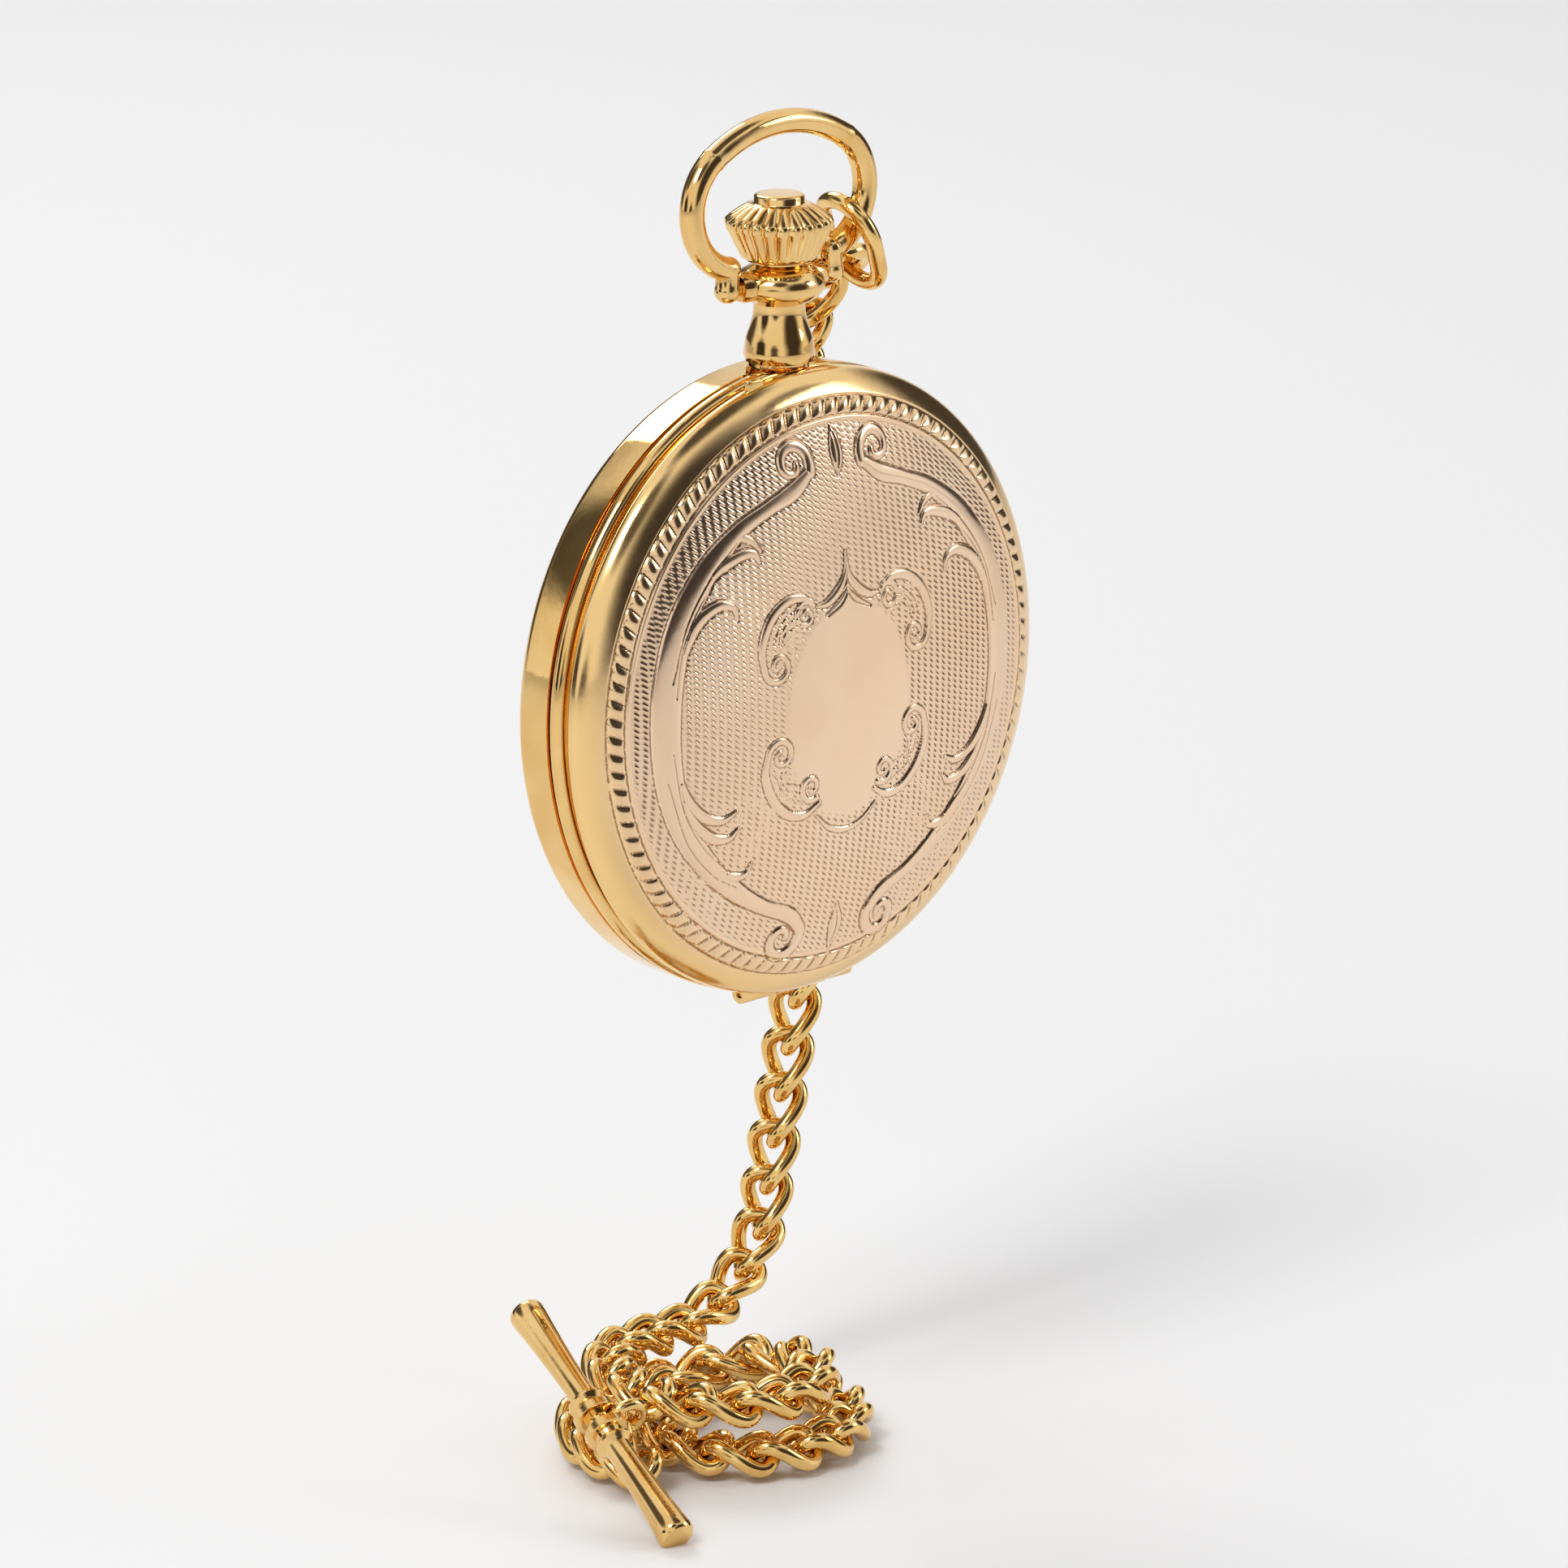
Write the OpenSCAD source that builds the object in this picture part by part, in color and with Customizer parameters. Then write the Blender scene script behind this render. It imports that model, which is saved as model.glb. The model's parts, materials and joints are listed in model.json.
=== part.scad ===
// Hunter pocket watch with a curb chain and T-bar, in millimetres.
// The origin is where the winding stem's axis crosses the movement's centre line.
// +Z points to the pendant at 12 o'clock, and the dial and the hinged cover face -Y.
// Every part is drawn lying down, x right, y to the pendant, z to the viewer, and upright() stands it up.

/* [Case] */
// Outside diameter of the case at the seam of the hinged cover
case_d = 48; // [48:0.1:48.4]
// Height of the hinged cover's dome above its seam
front_dome = 5.2; // [5.2:0.1:5.6]
// Height of the back cover's dome above its straight wall
back_dome = 4.4; // [4.4:0.1:4.8]
// Thickness of the covers
cover_t = 0.6; // [0.5:0.05:0.65]
// Angle to which the hinged cover opens
lid_open = 88; // [60:1:88]

/* [Pendant and bow] */
// Height of the bow's pivots above the case centre
bow_pivot_y = 30.3; // [30:0.1:30.6]
// Outside width of the bow
bow_w = 19.8; // [19.6:0.1:20]
// Thickness of the bow's wire
bow_wire = 1.9; // [1.8:0.05:1.95]
// Diameter of the crown's fluted rim
crown_d = 8.1; // [7.6:0.1:8.4]
// Flutes round the crown
crown_flutes = 22; // [18:1:26]

/* [Chain] */
// Thickness of the wire that the chain links are bent from
link_wire = 1.1; // [1.0:0.05:1.1]
// Distance from one hanging link to the next
link_pitch = 3.7; // [3.68:0.01:3.72]
// Radius of a link's rounded ends, on the wire's centre line
link_end_r = 1.85; // [1.83:0.01:1.87]
// Twist of each end of a curb link
link_twist = 38; // [37:1:40]
// Links that hang straight from the bow
hanging_links = 21; // [21:1:21]
// Length of the T-bar
t_bar_l = 22; // [20:0.5:24]

/* [Movement] */
// Radius of the main plate
plate_r = 18.3; // [18.2:0.05:18.3]
// Radial clearance of pivots and other running fits
running_fit = 0.03; // [0.02:0.01:0.05]

/* [Hidden] */
$fn = 72;

gold = "goldenrod";
steel = "lightsteelblue";
brass = "darkkhaki";
ruby = "crimson";

case_r = case_d / 2;
seam_z = 2.4;
band_z = 0.15;
back_wall_z = -2.4;
lid_inner_r = case_r - cover_t;

hinge_y = 0.4 - case_r;
hinge_z = 1.4;
hinge_r = 0.8;
hinge_pin_r = 0.35;
hinge_half = 5.6;
hinge_split = 2.2;
knuckle_half = (hinge_half - hinge_split - 0.1) / 2;

crown_y = 31.9;
crown_top_y = 36.9;
stem_r = 0.6;
stem_square = 0.7;

// Heights in the movement, from the dial side to the back
plate_top = 2.4;
plate_back = -0.3;
bridge_under = -1.9;
bridge_back = -2.9;
winding_top = -2.5;
winding_back = -2.85;
cock_under = -3.0;
cock_back = -3.8;
dial_z = 2.5;
dial_t = 0.4;
arbor_r = 0.3;
pivot_r = 0.12;
jewel_r = 0.7;

// Centres of the train, each at its gears' centre distance from the one before
center_at = [0, 0];
third_at = 6.75 * [cos(-50), sin(-50)];
fourth_at = [0, -8.6];
escape_at = fourth_at + 4.4 * [cos(193.2), sin(193.2)];
fork_at = [-7.2, -6.4];
balance_at = [-11.3, -2];
barrel_at = 8.4 * [cos(51.8), sin(51.8)];
crown_wheel_at = [0, 12.28];
minute_wheel_at = 3.6 * [cos(200), sin(200)];
click_at = [8.7, 10.9];
click_tip = barrel_at + 4.78 * [cos(24.5), sin(24.5)];
click_spring_at = [12.6, 4.6];
pallet_foot = [-9.3, -10.9];
balance_foot = [-11.6, 9.4];
barrel_feet = [[-5.2, 15.4], [15.9, 3.2]];
train_feet = [[13.2, -8.2], [4.6, -15.2]];
bridge_screw_places = concat(barrel_feet, train_feet, [balance_foot, pallet_foot]);
clamp_angles = [165, 350];
spring_screw_angles = [64, 296];
balance_r = 4.9;
escape_r = 2.4;

module upright() { rotate([90, 0, 0]) children(); }
module at(p, z = 0) { translate([p[0], p[1], z]) children(); }
module disc(r, z0, z1) { translate([0, 0, min(z0, z1)]) cylinder(r = r, h = abs(z1 - z0)); }
module along_y(r, y0, y1) { translate([0, y0, 0]) rotate([-90, 0, 0]) cylinder(r = r, h = y1 - y0); }
module along_x(r, x0, x1) { translate([x0, 0, 0]) rotate([0, 90, 0]) cylinder(r = r, h = x1 - x0); }
module slab(size, z0, z1) {
    translate([-size[0] / 2, -size[1] / 2, min(z0, z1)]) cube([size[0], size[1], abs(z1 - z0)]);
}
module plate_shape(z0, z1) { translate([0, 0, min(z0, z1)]) linear_extrude(abs(z1 - z0)) children(); }
module bar(a, b, w) {
    span = b - a;
    translate(a) rotate(atan2(span[1], span[0])) translate([0, -w / 2]) square([norm(span), w]);
    translate(a) circle(d = w);
    translate(b) circle(d = w);
}

function angle_to(a, b) = atan2(b[1] - a[1], b[0] - a[0]);
function ellipse_arc(rx, ry, from, to, steps) =
    [for (i = [0:steps]) let (t = from + (to - from) * i / steps) [rx * cos(t), ry * sin(t)]];
function shifted(points, dz) = [for (p = points) [p[0], p[1] + dz]];

// Points of a toothed wheel, with each tooth a trapezoid narrower than its gap
function tooth_points(teeth, pitch_r, m, play) =
    [for (i = [0:teeth - 1], k = [-1.25, -0.45, 0.45, 1.25])
        let (root = abs(k) > 1, half = 90 / teeth * (1 - play))
        let (r = root ? pitch_r - 1.3 * m : pitch_r + 0.85 * m)
        r * [cos(360 * i / teeth + k * half), sin(360 * i / teeth + k * half)]];

module gear(teeth, m, z0, z1, turned = 0, play = 0.2) {
    rotate(turned) plate_shape(z0, z1) polygon(tooth_points(teeth, teeth * m / 2, m, play));
}

// Leaves the rim and the hub of a wheel joined by arms
module crossings(rim_r, hub_r, arms, arm_w, z0, z1) {
    difference() {
        disc(rim_r, z0, z1);
        disc(hub_r, z0 + 1, z1 - 1);
        for (i = [0:arms - 1])
            rotate(360 * i / arms) translate([0, -arm_w / 2, min(z0, z1) - 1])
                cube([rim_r + 1, arm_w, abs(z1 - z0) + 2]);
    }
}

module wheel(teeth, m, z0, z1, turned, hub_r = 0.75, arms = 5) {
    difference() {
        gear(teeth, m, z0, z1, turned);
        crossings(teeth * m / 2 - 4.5 * m, hub_r, arms, 3 * m, z0 + 0.5, z1 - 0.5);
    }
}

module arbor(z0, z1, pivot = 0.35) {
    disc(arbor_r, z0, z1);
    disc(pivot_r, z0 + pivot, z1 - pivot);
}

// A slotted screw that stands on its head's underside, with its shank going to +z
module screw(head_r, head_h, shank_r, shank_l) {
    difference() {
        union() {
            disc(head_r, -head_h, 0);
            disc(shank_r, -0.1, shank_l);
        }
        slab([2 * head_r + 1, 0.28 * head_r], -head_h - 1, -head_h * 0.6);
    }
}

// --- Case ---

module hinge_barrel(r, x0, x1) {
    translate([0, hinge_y, hinge_z]) along_x(r, x0, x1);
}

module middle_case() {
    bead_r = (seam_z - 0.85 - band_z) / 2;
    bead_z = band_z + bead_r;
    groove_r = case_r - 0.7;
    color(gold) upright() difference() {
        union() {
            difference() {
                rotate_extrude($fn = 144) union() {
                    polygon([
                        [plate_r + 0.1, 1.9], [plate_r + 0.75, 1.9], [plate_r + 0.75, 2.45],
                        [plate_r + 1.15, 2.45], [plate_r + 1.15, 2.9], [22.7, 2.9],
                        [23.1, 2.65], [23.1, 2.3], [groove_r, 2.3], [groove_r, band_z],
                        [23.15, band_z], [23.15, -2.3], [21.95, -2.3], [21.95, -2.75],
                        [21.2, -2.75], [21.2, -0.6], [plate_r + 0.1, -0.6]
                    ]);
                    translate([groove_r + 0.1, bead_z]) circle(r = bead_r);
                }
                hinge_barrel(hinge_r + 0.12, -hinge_half - 0.5, hinge_half + 0.5);
                translate([0, -case_r, 1.9]) slab([2 * hinge_split + 0.3, 2.2], -0.4, 2);
            }
            for (side = [-1, 1]) {
                middle = side * (hinge_split + hinge_half + 0.1) / 2;
                hinge_barrel(hinge_r, middle - knuckle_half, middle + knuckle_half);
                translate([middle, hinge_y + 0.9, 0])
                    slab([2 * knuckle_half, 1.4], 0.5, hinge_z + 0.4);
            }
        }
        hinge_barrel(hinge_pin_r + running_fit, -hinge_half - 1, hinge_half + 1);
        along_y(2.25, 21.2, 26);
        along_y(0.95, 15, 26);
        at([3.3, 21.9]) slab([1.9, 2.2], -3, 4);
        for (a = spring_screw_angles) rotate(a) translate([20.4, 0]) disc(0.45, -1, 0.6);
    }
}

module pendant() {
    bulb_y = bow_pivot_y - 0.2;
    color(gold) upright() difference() {
        union() {
            rotate([-90, 0, 0]) rotate_extrude() polygon(concat(
                [[0, 21.3], [2.2, 21.3], [2.2, 24.3], [2.55, 24.3], [2.7, 24.8], [2.55, 25.9]],
                [for (t = [0:15:90]) [2.5 - 0.55 * sin(t), 26.1 + 2.3 * t / 90]],
                [for (t = [-58:12:62]) [0.35 + 3.1 * cos(t), bulb_y + 1.7 * sin(t)]],
                [[2.0, 31.7], [2.0, 32.6], [0, 32.6]]
            ));
            translate([0, bow_pivot_y, 0]) for (side = [0, 1]) mirror([side, 0, 0]) {
                along_x(1.15, 2, 3.85);
                translate([3.85, 0, 0]) rotate([0, 90, 0]) cylinder(r1 = 1.15, r2 = 0.95, h = 0.45);
            }
        }
        along_y(1.6, 20, 31);
        along_y(0.85, 20, 34);
        translate([0, bow_pivot_y, 0]) for (side = [0, 1]) mirror([side, 0, 0])
            along_x(0.5 + running_fit, 3.2, 6);
    }
}

module front_lid() {
    top_r = lid_inner_r;
    color(gold) upright() difference() {
        union() {
            rotate_extrude($fn = 144) polygon(concat(
                shifted(ellipse_arc(case_r, front_dome, 0, 90, 30), seam_z),
                shifted(ellipse_arc(top_r, front_dome - cover_t, 90, 0, 30), seam_z)
            ));
            hinge_barrel(hinge_r, -hinge_split + 0.1, hinge_split - 0.1);
            translate([0, hinge_y - 0.05, 0]) slab([2 * hinge_split - 0.2, 0.6], hinge_z, seam_z + 0.5);
            at([-5.2, case_r - 0.55]) slab([1.6, 1.0], seam_z + 0.02, seam_z + 0.5);
        }
        hinge_barrel(hinge_pin_r + running_fit, -hinge_split - 1, hinge_split + 1);
    }
}

module hinge_pin() {
    color(gold) upright() hinge_barrel(hinge_pin_r, -hinge_half + 0.2, hinge_half - 0.2);
}

module back_cover() {
    color(gold) upright() difference() {
        rotate_extrude($fn = 144) polygon(concat(
            [[case_r, band_z - 0.05], [case_r, back_wall_z]],
            shifted(ellipse_arc(case_r, back_dome, -2, -90, 30), back_wall_z),
            shifted(ellipse_arc(lid_inner_r, back_dome - cover_t, -90, 0, 30), back_wall_z),
            [[lid_inner_r, band_z - 0.05]]
        ));
        along_y(2.3, 20, 26);
    }
}

module dust_cover() {
    rim_z = -2.8;
    color(gold) upright() rotate_extrude($fn = 144) polygon(concat(
        shifted(ellipse_arc(21.8, 3.0, 0, -90, 24), rim_z),
        shifted(ellipse_arc(21.4, 2.6, -90, 0, 24), rim_z)
    ));
}

module bezel() {
    color(gold) upright() rotate_extrude($fn = 144) polygon([
        [19.0, 2.92], [22.3, 2.92], [22.4, 3.15], [22.0, 3.55], [21.2, 4.1], [20.6, 4.3],
        [20.35, 4.25], [20.35, 3.75], [19.5, 3.75], [19.0, 3.3]
    ]);
}

module crystal() {
    color("aliceblue") upright() rotate_extrude($fn = 144) polygon(concat(
        [for (r = [0:1.93:19.31]) [r, 4.15 + 1.15 * (1 - pow(r / 19.3, 2))]],
        [[19.6, 3.77], [20.3, 3.77], [20.3, 4.2]],
        [for (r = [19.9:-1.99:-0.01]) [max(r, 0), 4.5 + 1.6 * (1 - pow(r / 19.9, 2))]]
    ));
}

module dial() {
    sub_r = 4.6;
    color("ivory") upright() difference() {
        union() {
            disc(plate_r + 1.05, dial_z, dial_z + dial_t);
            for (at_angle = [60, 240]) rotate(at_angle) translate([16.4, 0]) disc(0.4, dial_z + 0.1, 1.2);
        }
        disc(1.35, 2, 4);
        at(fourth_at) disc(0.35, 2, 4);
        at(fourth_at) disc(sub_r, dial_z + dial_t - 0.15, 4);
    }
}

// Flat springs that lie round the inside of the case
module case_spring(r, from, to, w, z0, z1) {
    rotate([0, 0, from]) translate([0, 0, z0])
        rotate_extrude(angle = to - from) translate([r, 0]) square([w, z1 - z0]);
}

module lock_spring() {
    color(steel) upright() difference() {
        union() {
            case_spring(19.8, 62, 118, 1.2, -2.4, -0.85);
            at([3.3, 21.4]) slab([1.5, 1.0], -2.2, 2.75);
            at([3.3, 20.9]) slab([1.5, 1.6], -2.2, -0.9);
            at([3.3, 22.1]) slab([1.5, 1.3], 2.3, 2.75);
        }
        rotate(spring_screw_angles[0]) translate([20.4, 0]) disc(0.42, -4, 0);
    }
}

module lid_spring() {
    color(steel) upright() difference() {
        union() {
            case_spring(19.8, 242, 298, 1.2, -2.4, -0.85);
            at([0, -20.6]) slab([2.4, 0.9], -2.2, -0.9);
        }
        rotate(spring_screw_angles[1]) translate([20.4, 0]) disc(0.42, -4, 0);
    }
}

module case_screws() {
    color(steel) upright() {
        for (a = spring_screw_angles) rotate(a) translate([20.4, 0, -2.42]) screw(0.7, 0.3, 0.4, 2.7);
        for (a = clamp_angles) rotate(a) translate([17.2, 0, -0.62]) screw(1.4, 0.3, 0.45, 1.7);
    }
}

// --- Bow and crown ---

// An oval of three arcs, open at the foot, with a ball at each joint and a straight peg at each end
module bow() {
    half = (bow_w - bow_wire) / 2;
    rise = 5.85;
    middle_y = 36.4;
    side_r = 4.6;
    side_x = half - side_r;
    top_r = (side_x * side_x + rise * rise - side_r * side_r) / (2 * (rise - side_r));
    meet = atan2(top_r - rise, side_x);
    foot_turn = -78;
    foot = [side_x + side_r * cos(foot_turn), middle_y + side_r * sin(foot_turn)];
    knee = [5.4, bow_pivot_y];
    leg = knee - foot;
    color(gold) upright() {
        translate([0, middle_y + rise - top_r, 0]) rotate([0, 0, meet])
            rotate_extrude(angle = 180 - 2 * meet) translate([top_r, 0]) circle(d = bow_wire);
        for (side = [0, 1]) rotate([0, 180 * side, 0]) {
            translate([side_x, middle_y, 0]) rotate([0, 0, foot_turn])
                rotate_extrude(angle = meet - foot_turn) translate([side_r, 0]) circle(d = bow_wire);
            translate([foot[0], foot[1], 0]) rotate([0, 0, atan2(leg[1], leg[0])]) rotate([0, 90, 0])
                cylinder(d = bow_wire * 0.96, h = norm(leg));
            translate([foot[0], foot[1], 0]) rotate([0, 0, foot_turn]) rotate([90, 0, 0])
                sphere(d = bow_wire * 1.04);
            translate([side_x, middle_y, 0]) rotate([0, 0, meet]) translate([side_r, 0, 0])
                rotate([90, 0, 0]) sphere(d = bow_wire * 1.04);
            translate([knee[0], knee[1], 0]) rotate([0, 90, 0]) sphere(d = bow_wire * 1.02);
            translate([0, bow_pivot_y, 0]) along_x(0.5, 3.4, knee[0] + 0.2);
        }
    }
}

module crown() {
    rim_y = 34.8;
    bowl_r = crown_d / 2 - 0.45;
    color(gold) upright() difference() {
        rotate([-90, 0, 0]) {
            rotate_extrude() polygon([
                [0, crown_y], [2.75, crown_y], [2.95, crown_y + 0.5], [bowl_r - 0.15, rim_y - 0.7],
                [bowl_r, rim_y], [2.1, 36.1], [1.9, 36.1], [1.9, 36.7], [1.6, crown_top_y], [0, crown_top_y]
            ]);
            for (i = [0:crown_flutes - 1]) rotate(i * 360 / crown_flutes) {
                crown_rib([2.75, crown_y + 0.35], [bowl_r - 0.12, rim_y - 0.7], 0.42);
                crown_rib([bowl_r - 0.12, rim_y - 0.7], [bowl_r + 0.02, rim_y - 0.1], 0.44);
                crown_rib([bowl_r + 0.02, rim_y - 0.1], [2.3, 36.0], 0.34);
            }
        }
        along_y(2.3, crown_y - 1, 33.4);
        along_y(stem_r - 0.1, 30, 35.6);
    }
}

// One straight rib of the crown between two points of its outline, with round ends
module crown_rib(a, b, r) {
    span = b - a;
    translate([a[0], 0, a[1]]) rotate([0, atan2(span[0], span[1]), 0]) cylinder(r = r, h = norm(span), $fn = 24);
    translate([a[0], 0, a[1]]) sphere(r = r * 1.01, $fn = 24);
    translate([b[0], 0, b[1]]) sphere(r = r * 1.01, $fn = 24);
}

module winding_stem() {
    color(steel) upright() difference() {
        union() {
            along_y(stem_r, 16.35, 33.3);
            along_y(stem_r - 0.12, 30, 35.5);
            translate([-stem_square / 2, 13.1, -stem_square / 2]) cube([stem_square, 3.35, stem_square]);
            along_y(0.3, 12.2, 13.3);
        }
        difference() {
            along_y(1, 16.95, 17.45);
            along_y(0.38, 16, 18);
        }
    }
}

// --- Keyless work ---

module square_hole(y0, y1) {
    half = stem_square / 2 + running_fit;
    translate([-half, y0, -half]) cube([2 * half, y1 - y0, 2 * half]);
}

module pinion_along_y(teeth, r, y0, y1) {
    translate([0, y1, 0]) rotate([90, 0, 0])
        linear_extrude(y1 - y0) polygon(tooth_points(teeth, r, r / 10, 0.1));
}

module winding_pinion() {
    color(steel) upright() difference() {
        union() {
            pinion_along_y(14, 1.62, 15.2, 15.75);
            along_y(1.25, 14.7, 15.75);
        }
        square_hole(14, 17);
    }
}

module sliding_pinion() {
    color(steel) upright() difference() {
        union() {
            along_y(1.2, 14.15, 14.62);
            along_y(0.75, 13.6, 14.3);
            along_y(1.2, 13.2, 13.7);
        }
        square_hole(13, 15);
    }
}

module setting_lever() {
    pivot = [3.4, 16.4];
    color(steel) upright() {
        plate_shape(1.45, 1.85) {
            bar(pivot, [0, 17.2], 0.6);
            bar(pivot, [3.7, 14.4], 0.8);
        }
        at([0, 17.2]) disc(0.19, 0.44, 1.5);
        at(pivot) disc(0.35, 0.7, 1.5);
    }
}

module yoke() {
    pivot = [-3.6, 10.6];
    color(steel) upright() {
        plate_shape(1.45, 1.85) {
            bar(pivot, [-2.4, 13.95], 0.8);
            bar([-2.4, 13.95], [-0.5, 13.95], 0.36);
        }
        at([-0.5, 13.95]) disc(0.15, 0.85, 1.5);
        at(pivot) disc(0.35, 0.9, 1.5);
    }
}

module crown_wheel() {
    teeth = 35;
    color(steel) upright() at(crown_wheel_at) difference() {
        union() {
            gear(teeth, 0.2, winding_top, winding_back, angle_to(crown_wheel_at, barrel_at));
            disc(3.3, winding_top - 0.1, -2.05);
        }
        disc(2.9, -2.3, -1);
        disc(1.0 + running_fit, -4, 0);
    }
}

module ratchet_wheel() {
    teeth = 42;
    turned = angle_to(barrel_at, crown_wheel_at) + 180 / teeth;
    color(steel) upright() at(barrel_at) difference() {
        gear(teeth, 0.2, winding_top, winding_back, turned);
        slab([1.2, 1.2], -4, 0);
    }
}

module ratchet_screw() {
    color("steelblue") upright() at(barrel_at, winding_back) screw(1.3, 0.3, 0.35, 1.1);
}

module click() {
    color(steel) upright() difference() {
        union() {
            plate_shape(winding_top, winding_back) {
                bar(click_at, click_tip, 0.6);
                bar(click_at, click_at + [0.7, 1.4], 0.6);
            }
            at(click_at) disc(0.75, winding_top, winding_back);
        }
        at(click_at) disc(0.4 + running_fit, -4, 0);
    }
}

module click_spring() {
    color(steel) upright() plate_shape(winding_top, winding_back) {
        bar(click_spring_at, [12.3, 7.4], 0.3);
        bar([12.3, 7.4], [10.5, 9.15], 0.3);
        translate(click_spring_at) circle(r = 0.9);
    }
}

// --- Plates and bridges ---

module jewel_seats() {
    for (p = [third_at, fourth_at, escape_at, fork_at, balance_at])
        at(p) disc(jewel_r + 0.01, plate_back - 0.5, plate_back + 0.45);
}

module main_plate() {
    color(brass) upright() difference() {
        union() {
            disc(plate_r, plate_back, plate_top);
            disc(plate_r + 0.6, 1.95, plate_top);
        }
        at(barrel_at) disc(7.55, plate_back - 1, 1.35);
        at(barrel_at) disc(0.8 + running_fit, 0, 4);
        disc(1.5, plate_back - 1, 1.35);
        disc(0.5 + running_fit, -1, 4);
        disc(3.3, 1.45, 4);
        at(minute_wheel_at) disc(3.1, 1.45, 4);
        at([0, 14.3]) slab([4.0, 4.2], -1, 4);
        along_y(stem_r + 0.08, 16, 20);
        along_y(0.3 + running_fit, 11.6, 13);
        at([0.6, 17.1]) slab([3.4, 3.4], 1.3, 4);
        at([3.5, 15.6]) slab([3.2, 4.2], 1.3, 4);
        at([-2.8, 12.4]) slab([3.6, 5.2], 1.3, 4);
        at([3.4, 16.4]) disc(0.35 + running_fit, 0.6, 4);
        at([-3.6, 10.6]) disc(0.35 + running_fit, 0.8, 4);
        at([0.15, 17.4]) slab([1.4, 2.2], 0, 4);
        jewel_seats();
        at(fourth_at) disc(0.3, -1, 4);
        for (foot = [60, 240]) rotate(foot) translate([16.4, 0]) disc(0.4 + running_fit, 1, 4);
        for (p = bridge_screw_places) at(p) disc(0.45, plate_back - 1, 1.2);
        for (a = clamp_angles) rotate(a) translate([17.2, 0]) disc(0.5, plate_back - 1, 1.3);
    }
}

module bridge_bosses(places, r) {
    for (p = places) at(p) disc(r, plate_back, bridge_under - 0.05);
}

module barrel_bridge() {
    color("silver") upright() difference() {
        union() {
            plate_shape(bridge_under, bridge_back) difference() {
                circle(r = plate_r - 0.3, $fn = 144);
                translate([-20, -21.6]) square([40, 20]);
                translate([-20, -21.6]) square([16.6, 42]);
            }
            plate_shape(bridge_under, bridge_back) circle(r = 2.4);
            plate_shape(bridge_under, bridge_back) bar([-5.2, 15.4], [0, 14], 3);
            bridge_bosses(barrel_feet, 1.2);
        }
        at(barrel_at) disc(4.75, winding_top + 0.05, -4);
        at(crown_wheel_at) {
            disc(3.95, -2.25, -4);
            disc(1.0, -1, -4);
            difference() {
                disc(3.5, -2, -4);
                disc(2.75, -1, -5);
            }
        }
        at([0, 15.4]) slab([4.4, 2.6], -1, -4);
        at(barrel_at) disc(1.0 + running_fit, -1, -4);
        at(click_at) disc(3.05, winding_top + 0.05, -4);
        plate_shape(winding_top + 0.05, -4) {
            bar(click_spring_at, [12.3, 7.4], 2.4);
            bar([12.3, 7.4], [10.5, 9.15], 1.6);
        }
        disc(0.5 + running_fit, -1, -4);
        at(click_at) disc(0.4, 0, -4);
        for (p = barrel_feet) at(p) disc(0.45, 0, -4);
    }
}

module train_bridge() {
    color("silver") upright() difference() {
        union() {
            plate_shape(bridge_under, bridge_back) difference() {
                circle(r = plate_r - 0.3, $fn = 144);
                translate([-20, -2.6]) square([40, 24]);
                translate(balance_at) circle(r = 5.5);
                translate(fork_at) circle(r = 2.2);
                translate(pallet_foot) circle(r = 2.0);
                translate([-20, -20]) square([14.2, 20]);
            }
            bridge_bosses(train_feet, 1.3);
        }
        for (p = [third_at, fourth_at, escape_at]) at(p) disc(jewel_r + 0.01, 0, -4);
        for (p = train_feet) at(p) disc(0.45, 0, -4);
    }
}

module balance_cock() {
    color("silver") upright() difference() {
        union() {
            plate_shape(cock_under, cock_back) {
                bar(balance_at, balance_foot, 3.6);
                translate(balance_foot) circle(r = 2.6);
                translate(balance_at) circle(r = 2.2);
            }
            at(balance_foot) disc(2.3, plate_back, cock_under - 0.1);
        }
        at(balance_at) disc(jewel_r + 0.01, 0, -5);
        at(balance_foot) disc(0.45, 0, -5);
    }
}

module pallet_cock() {
    color("silver") upright() difference() {
        union() {
            plate_shape(-1.55, -2.05) bar(fork_at, pallet_foot, 1.6);
            at(pallet_foot) disc(1.1, plate_back, -1.6);
        }
        at(fork_at) disc(jewel_r + 0.01, 0, -3);
        at(pallet_foot) disc(0.45, 0, -3);
    }
}

module jewel(z0, z1, r = jewel_r) {
    difference() {
        disc(r, z0, z1);
        disc(pivot_r + running_fit, z0 + 1, z1 - 1);
    }
}

module jewels() {
    color(ruby) upright() {
        for (p = [third_at, fourth_at, escape_at, fork_at, balance_at])
            at(p) difference() {
                disc(jewel_r, plate_back, plate_back + 0.4);
                disc(pivot_r + running_fit, -2, 2);
            }
        for (p = [third_at, fourth_at, escape_at]) at(p) jewel(bridge_back, -2.35);
        at(fork_at) jewel(-2.05, -1.6);
        at(balance_at) jewel(cock_back, cock_under - 0.3);
    }
}

module movement_screws() {
    color("steelblue") upright() {
        for (p = concat(barrel_feet, train_feet)) at(p, bridge_back) screw(1.0, 0.4, 0.4, 3.9);
        at(balance_foot, cock_back) screw(1.0, 0.35, 0.4, 4.8);
        at(pallet_foot, -2.05) screw(0.8, 0.3, 0.4, 3);
        at(crown_wheel_at, winding_back) screw(1.5, 0.3, 0.95, 0.8);
        at(click_at, winding_back) screw(0.7, 0.3, 0.38, 0.8);
    }
}

// --- Train ---

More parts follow.
